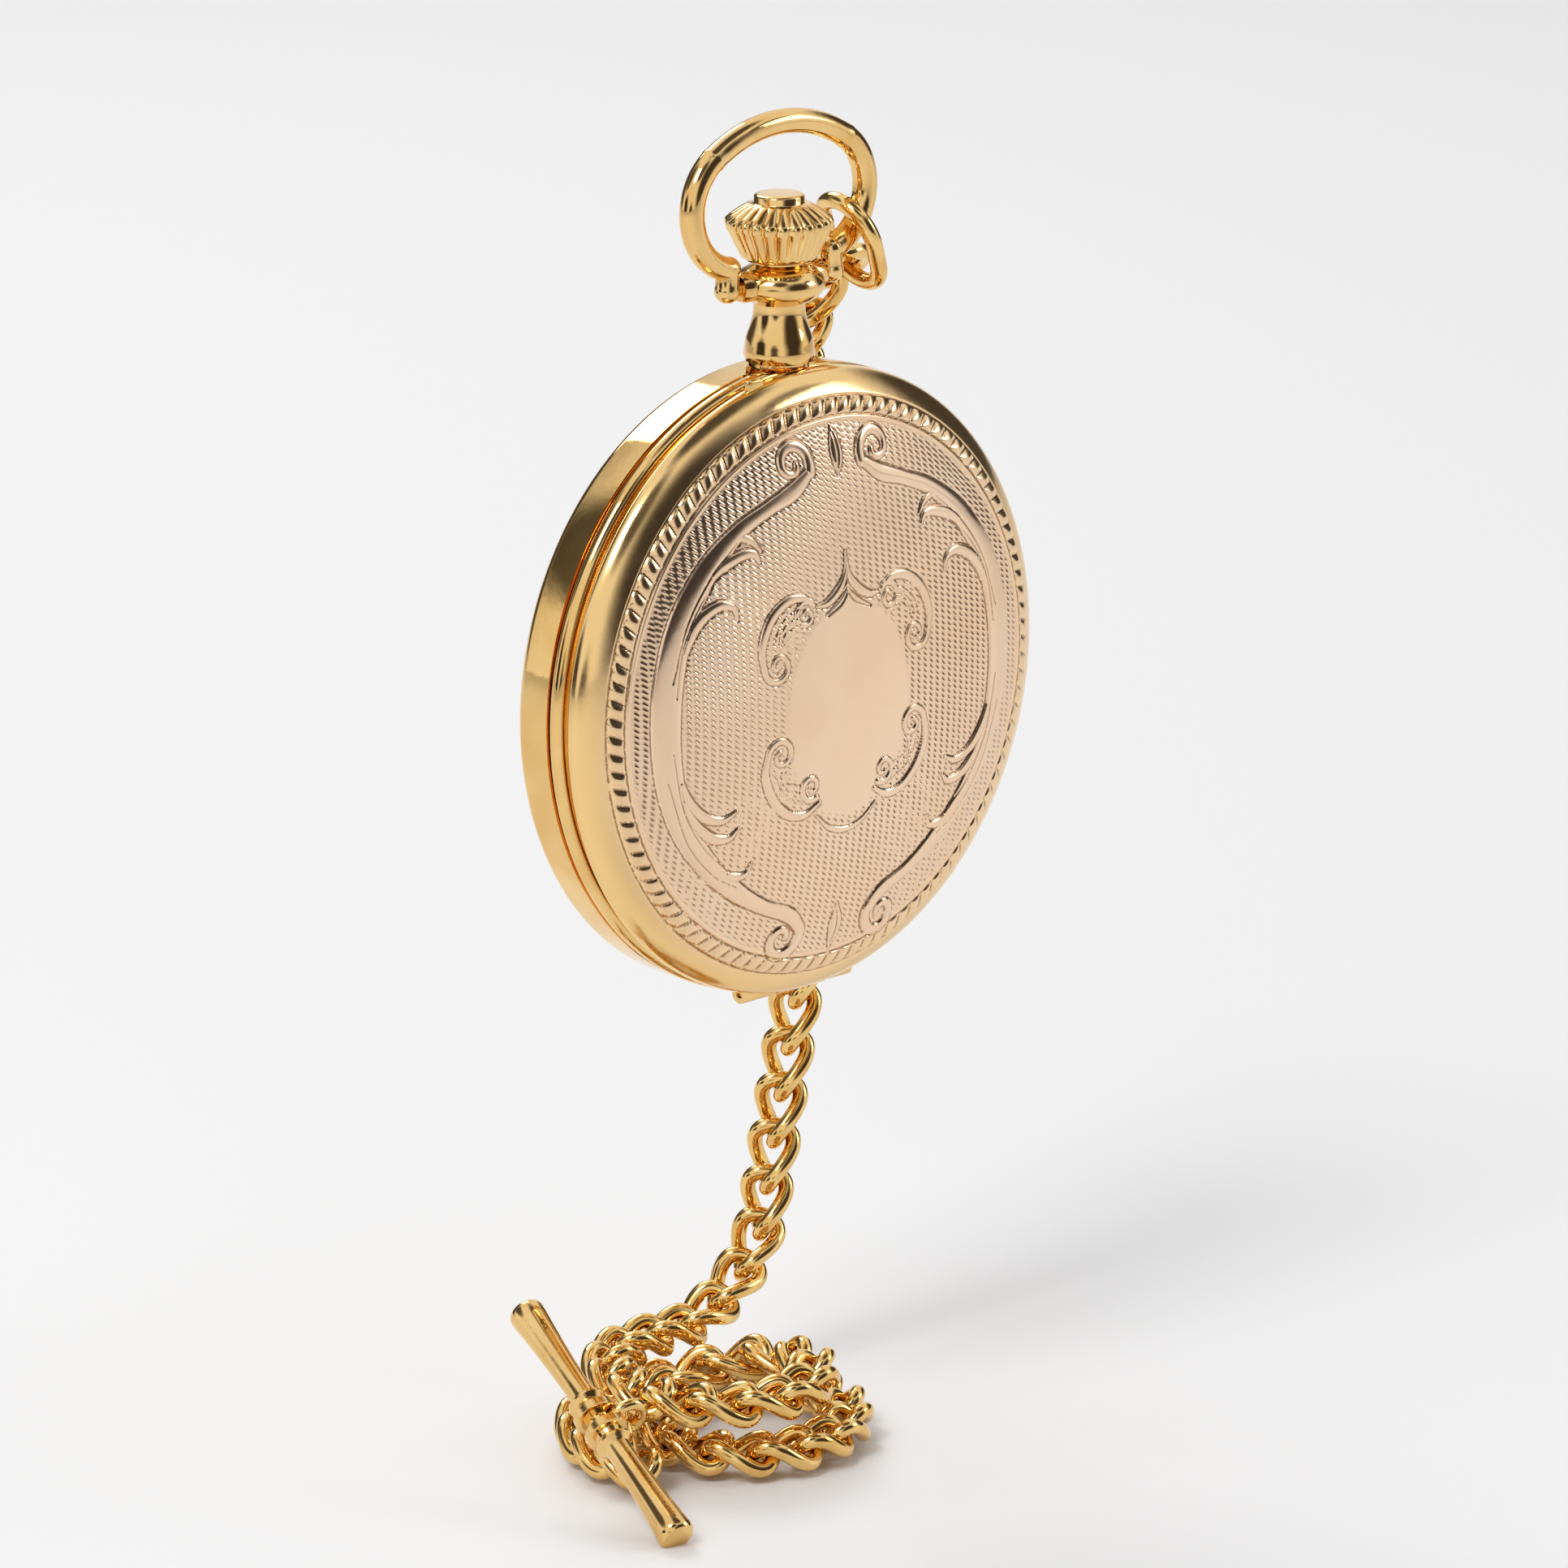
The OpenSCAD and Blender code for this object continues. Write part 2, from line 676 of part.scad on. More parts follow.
module barrel_drum() {
    teeth = 72;
    turned = angle_to(barrel_at, center_at) + 180 / teeth;
    color(brass) upright() at(barrel_at) difference() {
        union() {
            disc(6.6, 1.2, -1.2);
            gear(teeth, 0.2, 1.2, 0.6, turned);
        }
        disc(6.1, 0.8, -0.8);
        disc(1.2 + running_fit, -3, 3);
    }
}

module barrel_arbor() {
    color(steel) upright() at(barrel_at) difference() {
        union() {
            disc(1.2, 1.2, -1.2);
            disc(1.9, 0.75, -0.75);
            disc(0.8, 2.2, 0);
            disc(1.0, 0, winding_top + 0.02);
            slab([1.14, 1.14], 0, winding_back + 0.02);
        }
        disc(0.38, -1.7, -4);
    }
}

// Outline of a flat spiral strip of thickness t, from radius r0 to r1
function spiral_points(r0, r1, turns, t, steps) = concat(
    [for (i = [0:steps]) let (f = i / steps) (r0 + (r1 - r0) * f) * [cos(360 * turns * f), sin(360 * turns * f)]],
    [for (i = [steps:-1:0]) let (f = i / steps)
        (r0 + (r1 - r0) * f + t) * [cos(360 * turns * f), sin(360 * turns * f)]]
);

module mainspring() {
    color(steel) upright() at(barrel_at) plate_shape(-0.65, 0.65)
        polygon(spiral_points(2.1, 5.8, 7, 0.16, 168));
}

module center_wheel() {
    color(brass) upright() {
        wheel(80, 0.15, -1.45, -1.72, angle_to(center_at, third_at), 1.4);
        gear(12, 0.2, 1.3, 0.5, angle_to(center_at, barrel_at));
        disc(0.5, 2.2, -2.85);
        disc(0.9, 0.5, -1.5);
        disc(0.42, 4.0, 2);
    }
}

module third_wheel() {
    color(brass) upright() at(third_at) {
        wheel(75, 0.13, -0.85, -1.1, angle_to(third_at, fourth_at));
        gear(10, 0.15, -1.3, -1.82, angle_to(third_at, center_at) + 18, 0.25);
        arbor(-0.35, -2.3);
    }
}

module fourth_wheel() {
    color(brass) upright() at(fourth_at) {
        wheel(80, 0.1, -0.42, -0.62, angle_to(fourth_at, escape_at));
        gear(10, 0.13, -0.75, -1.2, angle_to(fourth_at, third_at) + 18, 0.25);
        disc(arbor_r, -0.35, -2.3);
        disc(pivot_r, 3.15, -2.7);
    }
}

module escape_wheel() {
    teeth = 15;
    color(brass) upright() at(escape_at) {
        rotate(9) difference() {
            plate_shape(-1.1, -1.3) polygon([for (i = [0:teeth - 1], k = [0, 1, 2])
                let (a = 360 * (i + [0, 0.12, 0.4][k]) / teeth)
                [escape_r, escape_r * 0.98, escape_r * 0.76][k] * [cos(a), sin(a)]]);
            crossings(1.4, 0.65, 4, 0.4, 0, -2);
        }
        gear(8, 0.1, -0.4, -0.75, angle_to(escape_at, fourth_at) + 22.5, 0.25);
        arbor(-0.35, -2.3);
    }
}

module pallet_fork() {
    to_balance = angle_to(fork_at, balance_at);
    to_escape = angle_to(fork_at, escape_at);
    span = norm(balance_at - fork_at);
    color(steel) upright() at(fork_at) {
        plate_shape(-1.1, -1.3) {
            rotate(to_balance) difference() {
                translate([0, -0.25]) square([span - 0.55, 0.5]);
                translate([span - 1.3, -0.16]) square([2, 0.32]);
            }
            rotate(to_escape) for (side = [-1, 1]) {
                bar([0, 0], [1.9, side * 2.2], 0.5);
                bar([1.9, side * 2.2], [2.3, side * 2.45], 0.42);
            }
            circle(r = 0.6);
        }
        arbor(-0.35, -1.55);
    }
}

module balance_wheel() {
    to_fork = angle_to(balance_at, fork_at);
    color(brass) upright() at(balance_at) {
        difference() {
            disc(balance_r, -1.75, -2.25);
            crossings(balance_r - 0.45, 0.8, 2, 0.7, 0, -4);
        }
        for (i = [0:11]) rotate(i * 30 + 15) translate([balance_r - 0.1, 0, -2])
            rotate([0, 90, 0]) cylinder(r = 0.2, h = 0.35);
        arbor(-0.4, -3.25, 0.33);
        disc(1.2, -1.5, -1.62);
        rotate(to_fork) translate([0.85, 0]) disc(0.12, -1.38, -1.6);
        disc(0.55, -1.5, -2.8);
    }
}

module hairspring() {
    color("steelblue") upright() at(balance_at) {
        plate_shape(-2.5, -2.7) polygon(spiral_points(0.75, 3.1, 7, 0.08, 168));
        difference() {
            disc(0.85, -2.5, -2.75);
            disc(0.55 + 0.01, -2, -3);
        }
    }
}

// --- Motion work and hands ---

module cannon_pinion() {
    color(steel) upright() difference() {
        union() {
            gear(12, 0.15, 1.5, 1.85, angle_to(center_at, minute_wheel_at));
            disc(0.72, 1.5, 3.95);
        }
        disc(0.42 + running_fit, 0, 5);
        disc(0.5 + running_fit, 1, 2.25);
    }
}

module minute_wheel() {
    color(brass) upright() at(minute_wheel_at) {
        wheel(36, 0.15, 1.55, 1.75, angle_to(minute_wheel_at, center_at) + 5, 0.9, 4);
        gear(10, 0.144, 1.7, 2.25, angle_to(minute_wheel_at, center_at) + 18, 0.25);
        disc(0.3, 1.47, 2.35);
    }
}

module hour_wheel() {
    color(brass) upright() difference() {
        union() {
            wheel(40, 0.144, 1.95, 2.2, angle_to(center_at, minute_wheel_at), 1.25, 4);
            disc(1.15, 1.95, 3.5);
        }
        disc(0.72 + running_fit, 1, 5);
    }
}

// A spade-shaped hand that points along +y
module hand(length, z0, z1, eye_r, hole_r, w) {
    difference() {
        plate_shape(z0, z1) {
            circle(r = eye_r);
            polygon([[-w * 0.5, 0], [w * 0.5, 0], [w * 0.35, length * 0.66], [-w * 0.35, length * 0.66]]);
            translate([0, length * 0.7]) difference() {
                circle(r = length * 0.085);
                circle(r = length * 0.045);
            }
            polygon([[-w * 0.7, length * 0.77], [w * 0.7, length * 0.77], [0, length]]);
            translate([-w * 0.5, -length * 0.16]) square([w, length * 0.2]);
        }
        disc(hole_r, z0 - 1, z1 + 1);
    }
}

module hour_hand() {
    color("midnightblue") upright() rotate(56) hand(9.8, 3.3, 3.42, 1.7, 1.16, 0.9);
}

module minute_hand() {
    color("midnightblue") upright() rotate(-54) hand(15.2, 3.72, 3.84, 1.3, 0.73, 0.75);
}

module second_hand() {
    color("midnightblue") upright() at(fourth_at) rotate(-150) difference() {
        plate_shape(3.02, 3.12) {
            circle(r = 0.5);
            translate([-0.09, -1.6]) square([0.18, 5.3]);
            translate([0, -1.4]) circle(r = 0.3);
        }
        disc(pivot_r + 0.01, 2, 4);
    }
}

// --- Chain ---

// A curb link along x: two half rings, turned opposite ways, and two slanted sides
module curb_link() {
    straight = 3.8 + link_wire - 2 * link_end_r;
    half_w = link_end_r * cos(link_twist);
    slant = link_end_r * sin(link_twist);
    side_l = norm([straight, 2 * slant]);
    for (side = [0, 1]) rotate([0, 0, 180 * side]) {
        translate([straight / 2, 0, 0]) rotate([link_twist, 0, 0]) rotate([0, 0, -90])
            rotate_extrude(angle = 180, $fn = 48) translate([link_end_r, 0]) circle(d = link_wire, $fn = 32);
        translate([-straight / 2, half_w, -slant]) {
            sphere(d = link_wire * 1.004, $fn = 32);
            rotate([0, -asin(2 * slant / side_l), 0]) rotate([0, 90, 0])
                cylinder(d = link_wire, h = side_l, $fn = 32);
        }
        translate([straight / 2, half_w, slant]) sphere(d = link_wire * 1.004, $fn = 32);
    }
}

function ease(t) = let (u = min(1, max(0, t))) u * u * (3 - 2 * u);

// Hanging links: they slope back over the case, hang plumb, lean, and curve over at the foot
first_link_at = [9.6, 27.1, -5.9];
landing_links = 4;
landing_pitch = 3.5;
function link_back(i) = 32 * pow(0.56, i);
function link_lean(i) = -3 + 15 * ease((i - 12) / 4) + 19.5 * max(0, i - hanging_links + 1);
function link_way(i) =
    let (back = link_back(i), lean = link_lean(i))
    [-sin(lean) * cos(back), -cos(lean) * cos(back), -sin(back)];
function link_step(i) = i < hanging_links - 1 ? link_pitch : landing_pitch;
function link_at(i) =
    i <= 0 ? first_link_at : link_at(i - 1) + link_step(i - 1) / 2 * (link_way(i - 1) + link_way(i));

module hanging_links(from, to) {
    color(gold) upright() for (i = [from:to])
        translate(link_at(i)) rotate([0, 0, -link_lean(i)]) rotate([link_back(i), 0, 0])
            rotate([0, 0, -90]) rotate([90, 0, 0]) curb_link();
}

// The coil: over the top and inwards, down the middle, then outwards along the floor
coil_pitch = 3.4;
coil_in_r = 6;
coil_top_r = 10.8;
coil_layer = 3.95;
coil_top_turn = 420;
coil_growth = 5.7;
coil_links = 35;
landing_end = link_at(hanging_links + landing_links - 1);

function coil_r(a) =
    a < coil_top_turn ? coil_in_r + (coil_top_r - coil_in_r) * ease((240 - a) / 300)
    : coil_in_r + coil_growth * (a - coil_top_turn) / 360;
function coil_height(a) =
    coil_layer * pow(sin(90 * min(1, max(0, (coil_top_turn + 5 - a) / 205))), 1.3);
function coil_r_slope(a) = (coil_r(a + 1) - coil_r(a - 1)) / 2 * 180 / PI;
function coil_angle(j) =
    j <= 0 ? 0
    : let (a = coil_angle(j - 1)) a + coil_pitch / norm([coil_r(a + 14), coil_r_slope(a + 14)]) * 180 / PI;

coil_center = landing_end + [-(landing_pitch + coil_pitch) / 2, -coil_layer, coil_r(0)];
floor_y = coil_center[1] - link_end_r * sin(link_twist) - link_wire / 2;

module coil_links(from, to) {
    color(gold) upright() for (j = [from:to]) {
        a = coil_angle(j);
        r = coil_r(a);
        slope = atan((coil_height(a - 1) - coil_height(a + 1)) / 2 * 180 / PI / r);
        translate(coil_center + [-r * sin(a), coil_height(a), -r * cos(a)])
            rotate([0, a - atan(coil_r_slope(a) / r), 0]) rotate([0, 0, slope])
                rotate([90, 0, 0]) curb_link();
    }
}

module ring(r, wire) {
    rotate_extrude() translate([r, 0]) circle(d = wire);
}

// A long oval ring along y, hung from its top
module oval_ring(end_r, straight, wire) {
    translate([0, -straight / 2 - end_r, 0]) for (side = [0, 1]) rotate([0, 0, 180 * side]) {
        translate([0, straight / 2, 0]) rotate_extrude(angle = 180) translate([end_r, 0]) circle(d = wire);
        translate([end_r, -straight / 2, 0]) rotate([-90, 0, 0]) cylinder(d = wire, h = straight);
    }
}

module bow_ring() {
    color(gold) upright() translate([6.75, 35.1, 0]) rotate([16, 0, 0]) rotate([0, 0, 27])
        rotate([0, 90, 0]) oval_ring(2.8, 1.9, 1.3);
}

module chain_ring() {
    color(gold) upright() translate([9.85, 29.28, -3.74]) rotate([50, 0, 0]) ring(2.2, 1.3);
}

t_bar_at = [-22, floor_y + 6.25, 3.3];
t_bar_turn = -11.5;
t_bar_dip = 27.7;
eye_r = 1.4;
eye_wire = 0.9;

module t_bar_ring() {
    color(gold) upright() translate(t_bar_at + [3.17, -2.06, -0.21]) rotate([-50.7, 0, -74])
        ring(2.11, eye_wire);
}

module t_bar() {
    rod_r = 0.95;
    color(gold) upright() translate(t_bar_at) rotate([0, t_bar_turn, 0]) rotate([t_bar_dip, 0, 0]) {
        disc(rod_r, -t_bar_l / 2, t_bar_l / 2);
        for (side = [-1, 1]) translate([0, 0, side * t_bar_l / 2]) sphere(r = 1.25);
        disc(1.3, -1.3, -0.5);
        disc(1.3, 0.5, 1.3);
        translate([rod_r + eye_r - 0.1, 0, 0]) rotate([90, 0, 0]) rotate([90, 0, 0]) ring(eye_r, eye_wire);
    }
}

middle_case();
pendant();
back_cover();
dust_cover();
bezel();
crystal();
dial();
front_lid();
hinge_pin();
lid_spring();
lock_spring();
bow();
crown();
winding_stem();
winding_pinion();
sliding_pinion();
setting_lever();
yoke();
crown_wheel();
ratchet_wheel();
ratchet_screw();
click();
click_spring();
main_plate();
barrel_bridge();
train_bridge();
balance_cock();
pallet_cock();
barrel_drum();
barrel_arbor();
mainspring();
center_wheel();
third_wheel();
fourth_wheel();
escape_wheel();
pallet_fork();
balance_wheel();
hairspring();
cannon_pinion();
minute_wheel();
hour_wheel();
hour_hand();
minute_hand();
second_hand();
jewels();
movement_screws();
case_screws();
bow_ring();
chain_ring();
hanging_links(0, 3);  // chain_top
hanging_links(4, 7);  // chain_upper
hanging_links(8, 11);  // chain_middle
hanging_links(12, 15);  // chain_lower
hanging_links(16, hanging_links - 1);  // chain_end
hanging_links(hanging_links, hanging_links + landing_links - 1);  // chain_landing
coil_links(0, 12);  // chain_coil_top
coil_links(13, 20);  // chain_coil_middle
coil_links(21, coil_links - 1);  // chain_coil_low
t_bar_ring();
t_bar();
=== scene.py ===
"""Looks for a gold hunter pocket watch on a curb chain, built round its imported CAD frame."""
import json
import math
import bpy
import bmesh
import numpy as np
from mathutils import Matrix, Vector

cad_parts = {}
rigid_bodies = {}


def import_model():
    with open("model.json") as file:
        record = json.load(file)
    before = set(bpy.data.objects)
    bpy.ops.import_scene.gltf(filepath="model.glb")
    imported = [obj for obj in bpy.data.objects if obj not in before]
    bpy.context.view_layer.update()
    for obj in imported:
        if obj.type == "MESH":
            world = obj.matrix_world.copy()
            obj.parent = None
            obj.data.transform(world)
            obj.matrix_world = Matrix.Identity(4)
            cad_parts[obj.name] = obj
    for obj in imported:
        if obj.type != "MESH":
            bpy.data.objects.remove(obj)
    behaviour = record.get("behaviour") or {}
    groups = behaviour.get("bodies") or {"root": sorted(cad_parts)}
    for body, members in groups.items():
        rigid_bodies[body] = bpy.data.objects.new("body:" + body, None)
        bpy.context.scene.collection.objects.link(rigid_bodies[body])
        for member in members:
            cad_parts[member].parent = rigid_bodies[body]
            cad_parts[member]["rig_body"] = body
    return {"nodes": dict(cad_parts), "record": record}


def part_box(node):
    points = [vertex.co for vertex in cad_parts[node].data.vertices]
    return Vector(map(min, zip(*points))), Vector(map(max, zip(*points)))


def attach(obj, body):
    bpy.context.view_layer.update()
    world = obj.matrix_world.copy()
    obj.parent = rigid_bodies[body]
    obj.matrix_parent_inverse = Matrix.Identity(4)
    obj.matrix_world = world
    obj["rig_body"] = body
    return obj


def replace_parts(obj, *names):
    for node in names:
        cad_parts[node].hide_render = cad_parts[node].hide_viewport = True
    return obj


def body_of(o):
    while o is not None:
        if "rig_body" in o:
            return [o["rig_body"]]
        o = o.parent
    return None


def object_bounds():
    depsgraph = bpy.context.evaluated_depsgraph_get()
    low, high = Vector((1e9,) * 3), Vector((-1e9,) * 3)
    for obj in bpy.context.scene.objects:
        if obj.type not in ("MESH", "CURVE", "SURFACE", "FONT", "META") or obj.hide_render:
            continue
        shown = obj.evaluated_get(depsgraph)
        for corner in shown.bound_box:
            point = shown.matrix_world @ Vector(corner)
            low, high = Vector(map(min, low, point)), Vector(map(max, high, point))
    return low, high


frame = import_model()
CAD_BOX = [list(corner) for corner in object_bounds()]
MM = 0.001


# ---- Measures from the CAD. Local mm: x right, y up, z to the viewer of the dial ----

def local_box(node):
    """A CAD node's lowest and highest corners in local mm."""
    low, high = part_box(node)
    return ((low.x / MM, low.z / MM, -high.y / MM), (high.x / MM, high.z / MM, -low.y / MM))


def joint_at(name):
    """Where a joint's axis lies, in local mm."""
    joint = [j for j in frame["record"]["behaviour"]["joints"] if j["name"] == name][0]
    x, y, z = joint["pos_m"]
    return x / MM, z / MM, -y / MM


HINGE_Y, HINGE_Z = joint_at("lid_hinge")[1:]
COVER_R = round(local_box("front_lid")[1][0], 1)
COVER_T = 0.6
SEAM = HINGE_Z + 1.0
DOME = local_box("front_lid")[1][2] - SEAM
CROWN_TOP = local_box("crown")[1][1]
DIAL_FACE = local_box("dial")[1][2]
SUB_FACE = DIAL_FACE - 0.15
SUB_CENTER = joint_at("seconds_turn")[:2]
NUMERALS = ["XII", "I", "II", "III", "IIII", "V", "VI", "VII", "VIII", "IX", "X", "XI"]


# ---- Shader helpers ----

class Shader:
    """A material's node tree, with short calls for the nodes used here."""

    def __init__(self, name):
        self.material = bpy.data.materials.new(name)
        self.material.use_nodes = True
        self.tree = self.material.node_tree
        self.out = self.tree.nodes["Principled BSDF"]
        coordinates = self.add("ShaderNodeTexCoord")
        scaled = self.add("ShaderNodeVectorMath", operation="SCALE")
        scaled.inputs["Scale"].default_value = 1000
        self.link(coordinates.outputs["Object"], scaled.inputs[0])
        self.mm = scaled.outputs[0]

    def add(self, kind, **settings):
        node = self.tree.nodes.new(kind)
        for key, value in settings.items():
            setattr(node, key, value)
        return node

    def link(self, a, b):
        self.tree.links.new(a, b)

    def noise(self, scale, detail=3.0, stretch=None):
        """Noise with about scale spots per mm, drawn out where stretch is below 1."""
        node = self.add("ShaderNodeTexNoise")
        node.inputs["Scale"].default_value = scale
        node.inputs["Detail"].default_value = detail
        source = self.mm
        if stretch:
            turned = self.add("ShaderNodeVectorMath", operation="MULTIPLY")
            self.link(self.mm, turned.inputs[0])
            turned.inputs[1].default_value = stretch
            source = turned.outputs[0]
        self.link(source, node.inputs["Vector"])
        return node.outputs["Fac"]

    def range(self, value, low, high, from_low=0.3, from_high=0.7):
        """A value spread from one range to another."""
        node = self.add("ShaderNodeMapRange")
        node.inputs["From Min"].default_value = from_low
        node.inputs["From Max"].default_value = from_high
        node.inputs["To Min"].default_value = low
        node.inputs["To Max"].default_value = high
        self.link(value, node.inputs["Value"])
        return node.outputs["Result"]

    def mix(self, factor, a, b):
        """A blend of two colours, each a tuple or a socket."""
        node = self.add("ShaderNodeMix", data_type="RGBA")
        self.link(factor, node.inputs["Factor"])
        for colour, slot in ((a, "A"), (b, "B")):
            socket = [s for s in node.inputs if s.name == slot and s.type == "RGBA"][0]
            if isinstance(colour, tuple):
                socket.default_value = (*colour, 1)
            else:
                self.link(colour, socket)
        return [s for s in node.outputs if s.type == "RGBA"][0]

    def bump(self, height, strength, distance, after=None):
        """A normal raised by a height, over an earlier bump if one is given."""
        node = self.add("ShaderNodeBump")
        node.inputs["Strength"].default_value = strength
        node.inputs["Distance"].default_value = distance
        self.link(height, node.inputs["Height"])
        if after:
            self.link(after, node.inputs["Normal"])
        return node.outputs["Normal"]

    def set(self, name, value):
        """Sets an input of the surface to a value or a socket."""
        socket = self.out.inputs[name]
        if isinstance(value, bpy.types.NodeSocket):
            self.link(value, socket)
        else:
            socket.default_value = value


def cover_tint_and_hollow_shade(s, colour, rim):
    """Blends a cover's face to its rim's colour, and paints shade into the hollows of the engraving."""
    flat = s.add("ShaderNodeVectorMath", operation="MULTIPLY")
    flat.inputs[1].default_value = (1, 0, 1)
    s.link(s.mm, flat.inputs[0])
    radius = s.add("ShaderNodeVectorMath", operation="LENGTH")
    s.link(flat.outputs[0], radius.inputs[0])
    colour = s.mix(s.range(radius.outputs["Value"], 0, 1, 20.0, 23.2), colour, rim)
    # Painted shade: the engraving's hollows, found by low pointiness, are darkened towards deep brown.
    hollows = s.add("ShaderNodeNewGeometry").outputs["Pointiness"]
    return s.mix(s.range(hollows, 0.75, 0, 0.470, 0.497), colour, (0.20, 0.09, 0.035))


def metal(name, light, deep, rough, ripple, scratch=0.25, tint_scale=0.25, rim=None):
    """Polished or satin metal: colour drift, ripple, fine hairlines and uneven polish."""
    s = Shader(name)
    s.set("Metallic", 1.0)
    colour = s.mix(s.range(s.noise(tint_scale, 4), 0, 1), light, deep)
    # With a rim colour, the cover also gets painted shade in the hollows of its engraving.
    s.set("Base Color", cover_tint_and_hollow_shade(s, colour, rim) if rim else colour)
    hairs = s.noise(3.0, 5, stretch=(0.4, 7.0, 1.0))
    smudge = s.noise(0.5, 3)
    low = s.range(smudge, rough * 0.75, rough * 1.3)
    extra = s.range(hairs, 0.0, rough * 0.5, 0.5, 0.8)
    total = s.add("ShaderNodeMath", operation="ADD")
    s.link(low, total.inputs[0])
    s.link(extra, total.inputs[1])
    s.set("Roughness", total.outputs[0])
    first = s.bump(s.noise(0.9, 2), ripple, 0.00005)
    s.set("Normal", s.bump(hairs, scratch * 0.12, 0.000004, first))
    return s.material


def dial_enamel():
    """Warm white enamel under a glossy coat."""
    s = Shader("dial_enamel")
    s.set("Base Color", s.mix(s.range(s.noise(0.35, 5), 0, 1), (0.90, 0.87, 0.78), (0.96, 0.94, 0.88)))
    s.set("Roughness", s.range(s.noise(1.5, 3), 0.12, 0.22))
    s.set("Coat Weight", 0.7)
    s.set("Normal", s.bump(s.noise(0.6, 2), 0.12, 0.00004))
    return s.material


def black_paint():
    """The dial's printing."""
    s = Shader("dial_paint")
    s.set("Base Color", s.mix(s.range(s.noise(4, 3), 0, 1), (0.012, 0.012, 0.016), (0.035, 0.032, 0.03)))
    s.set("Roughness", s.range(s.noise(5, 2), 0.3, 0.5))
    s.set("Normal", s.bump(s.noise(9, 2), 0.2, 0.00001))
    return s.material


def crystal_glass():
    """Clear crystal that lets the lights through to the dial."""
    s = Shader("crystal")
    s.set("Base Color", (0.99, 1.0, 1.0, 1))
    s.set("Transmission Weight", 1.0)
    s.set("IOR", 1.49)
    s.set("Roughness", s.range(s.noise(0.8, 3), 0.0, 0.02))
    s.set("Normal", s.bump(s.noise(0.4, 2), 0.05, 0.00002))
    clear = s.add("ShaderNodeMixShader")
    s.link(s.add("ShaderNodeLightPath").outputs["Is Shadow Ray"], clear.inputs[0])
    s.link(s.out.outputs[0], clear.inputs[1])
    s.link(s.add("ShaderNodeBsdfTransparent").outputs[0], clear.inputs[2])
    s.link(clear.outputs[0], s.tree.nodes["Material Output"].inputs[0])
    return s.material


def ruby():
    """Pink-red jewel bearings."""
    s = Shader("ruby")
    s.set("Base Color", s.mix(s.range(s.noise(2, 2), 0, 1), (0.55, 0.01, 0.05), (0.8, 0.05, 0.12)))
    s.set("Transmission Weight", 0.5)
    s.set("Roughness", s.range(s.noise(3, 2), 0.02, 0.08))
    return s.material


def striped_nickel():
    """Nickel bridges with broad ribbed stripes."""
    s = Shader("bridge_nickel")
    s.set("Metallic", 1.0)
    s.set("Base Color", s.mix(s.range(s.noise(0.4, 4), 0, 1), (0.72, 0.70, 0.66), (0.82, 0.79, 0.72)))
    wave = s.add("ShaderNodeTexWave", wave_type="BANDS", bands_direction="DIAGONAL", wave_profile="SAW")
    wave.inputs["Scale"].default_value = 0.16
    wave.inputs["Distortion"].default_value = 0.0
    s.link(s.mm, wave.inputs["Vector"])
    s.set("Roughness", s.range(wave.outputs["Fac"], 0.16, 0.34, 0, 1))
    fine = s.noise(6, 4, stretch=(1, 1, 9))
    s.set("Normal", s.bump(fine, 0.25, 0.000008, s.bump(wave.outputs["Fac"], 0.35, 0.00004)))
    return s.material


GOLD = metal("gold", (0.91, 0.63, 0.27), (0.82, 0.51, 0.18), 0.06, 0.2)
CHAIN_GOLD = metal("chain_gold", (0.92, 0.64, 0.25), (0.81, 0.49, 0.15), 0.08, 0.3, tint_scale=0.5)
# The covers' pale gold, with its rim colour and painted shade in the engraving's hollows.
PALE_GOLD = metal("pale_gold", (0.93, 0.70, 0.50), (0.88, 0.62, 0.41), 0.13, 0.10, tint_scale=0.1,
                  rim=(0.91, 0.62, 0.27))
MATERIALS = {
    "gold": GOLD,
    "pale_gold": PALE_GOLD,
    "steel": metal("steel", (0.62, 0.63, 0.65), (0.52, 0.52, 0.54), 0.22, 0.1, 1.0),
    "blued_steel": metal("blued_steel", (0.02, 0.04, 0.16), (0.035, 0.02, 0.11), 0.14, 0.1, 0.5),
    "brass": metal("brass", (0.86, 0.66, 0.30), (0.78, 0.56, 0.22), 0.24, 0.1, 1.0),
    "bridge_nickel": striped_nickel(),
    "dial_enamel": dial_enamel(),
    "crystal": crystal_glass(),
    "ruby": ruby(),
}
PAINT = black_paint()
CHAIN_NODES = [n for n in frame["nodes"] if n.startswith(("chain", "t_bar", "bow_ring"))]


def dress_nodes():
    """Gives every CAD node its material, welded and smooth between its sharp edges."""
    slots = {p["node"]: p["material_slot"] for p in frame["record"]["subparts"]}
    for name, node in frame["nodes"].items():
        mesh = node.data
        mesh.materials.clear()
        mesh.materials.append(CHAIN_GOLD if name in CHAIN_NODES else MATERIALS[slots[name]])
        mesh.polygons.foreach_set("use_smooth", [True] * len(mesh.polygons))
        mesh.polygons.foreach_set("material_index", [0] * len(mesh.polygons))
        weld = node.modifiers.new("weld", "WELD")
        weld.merge_threshold = 1e-6
        smooth_by_angle(node)


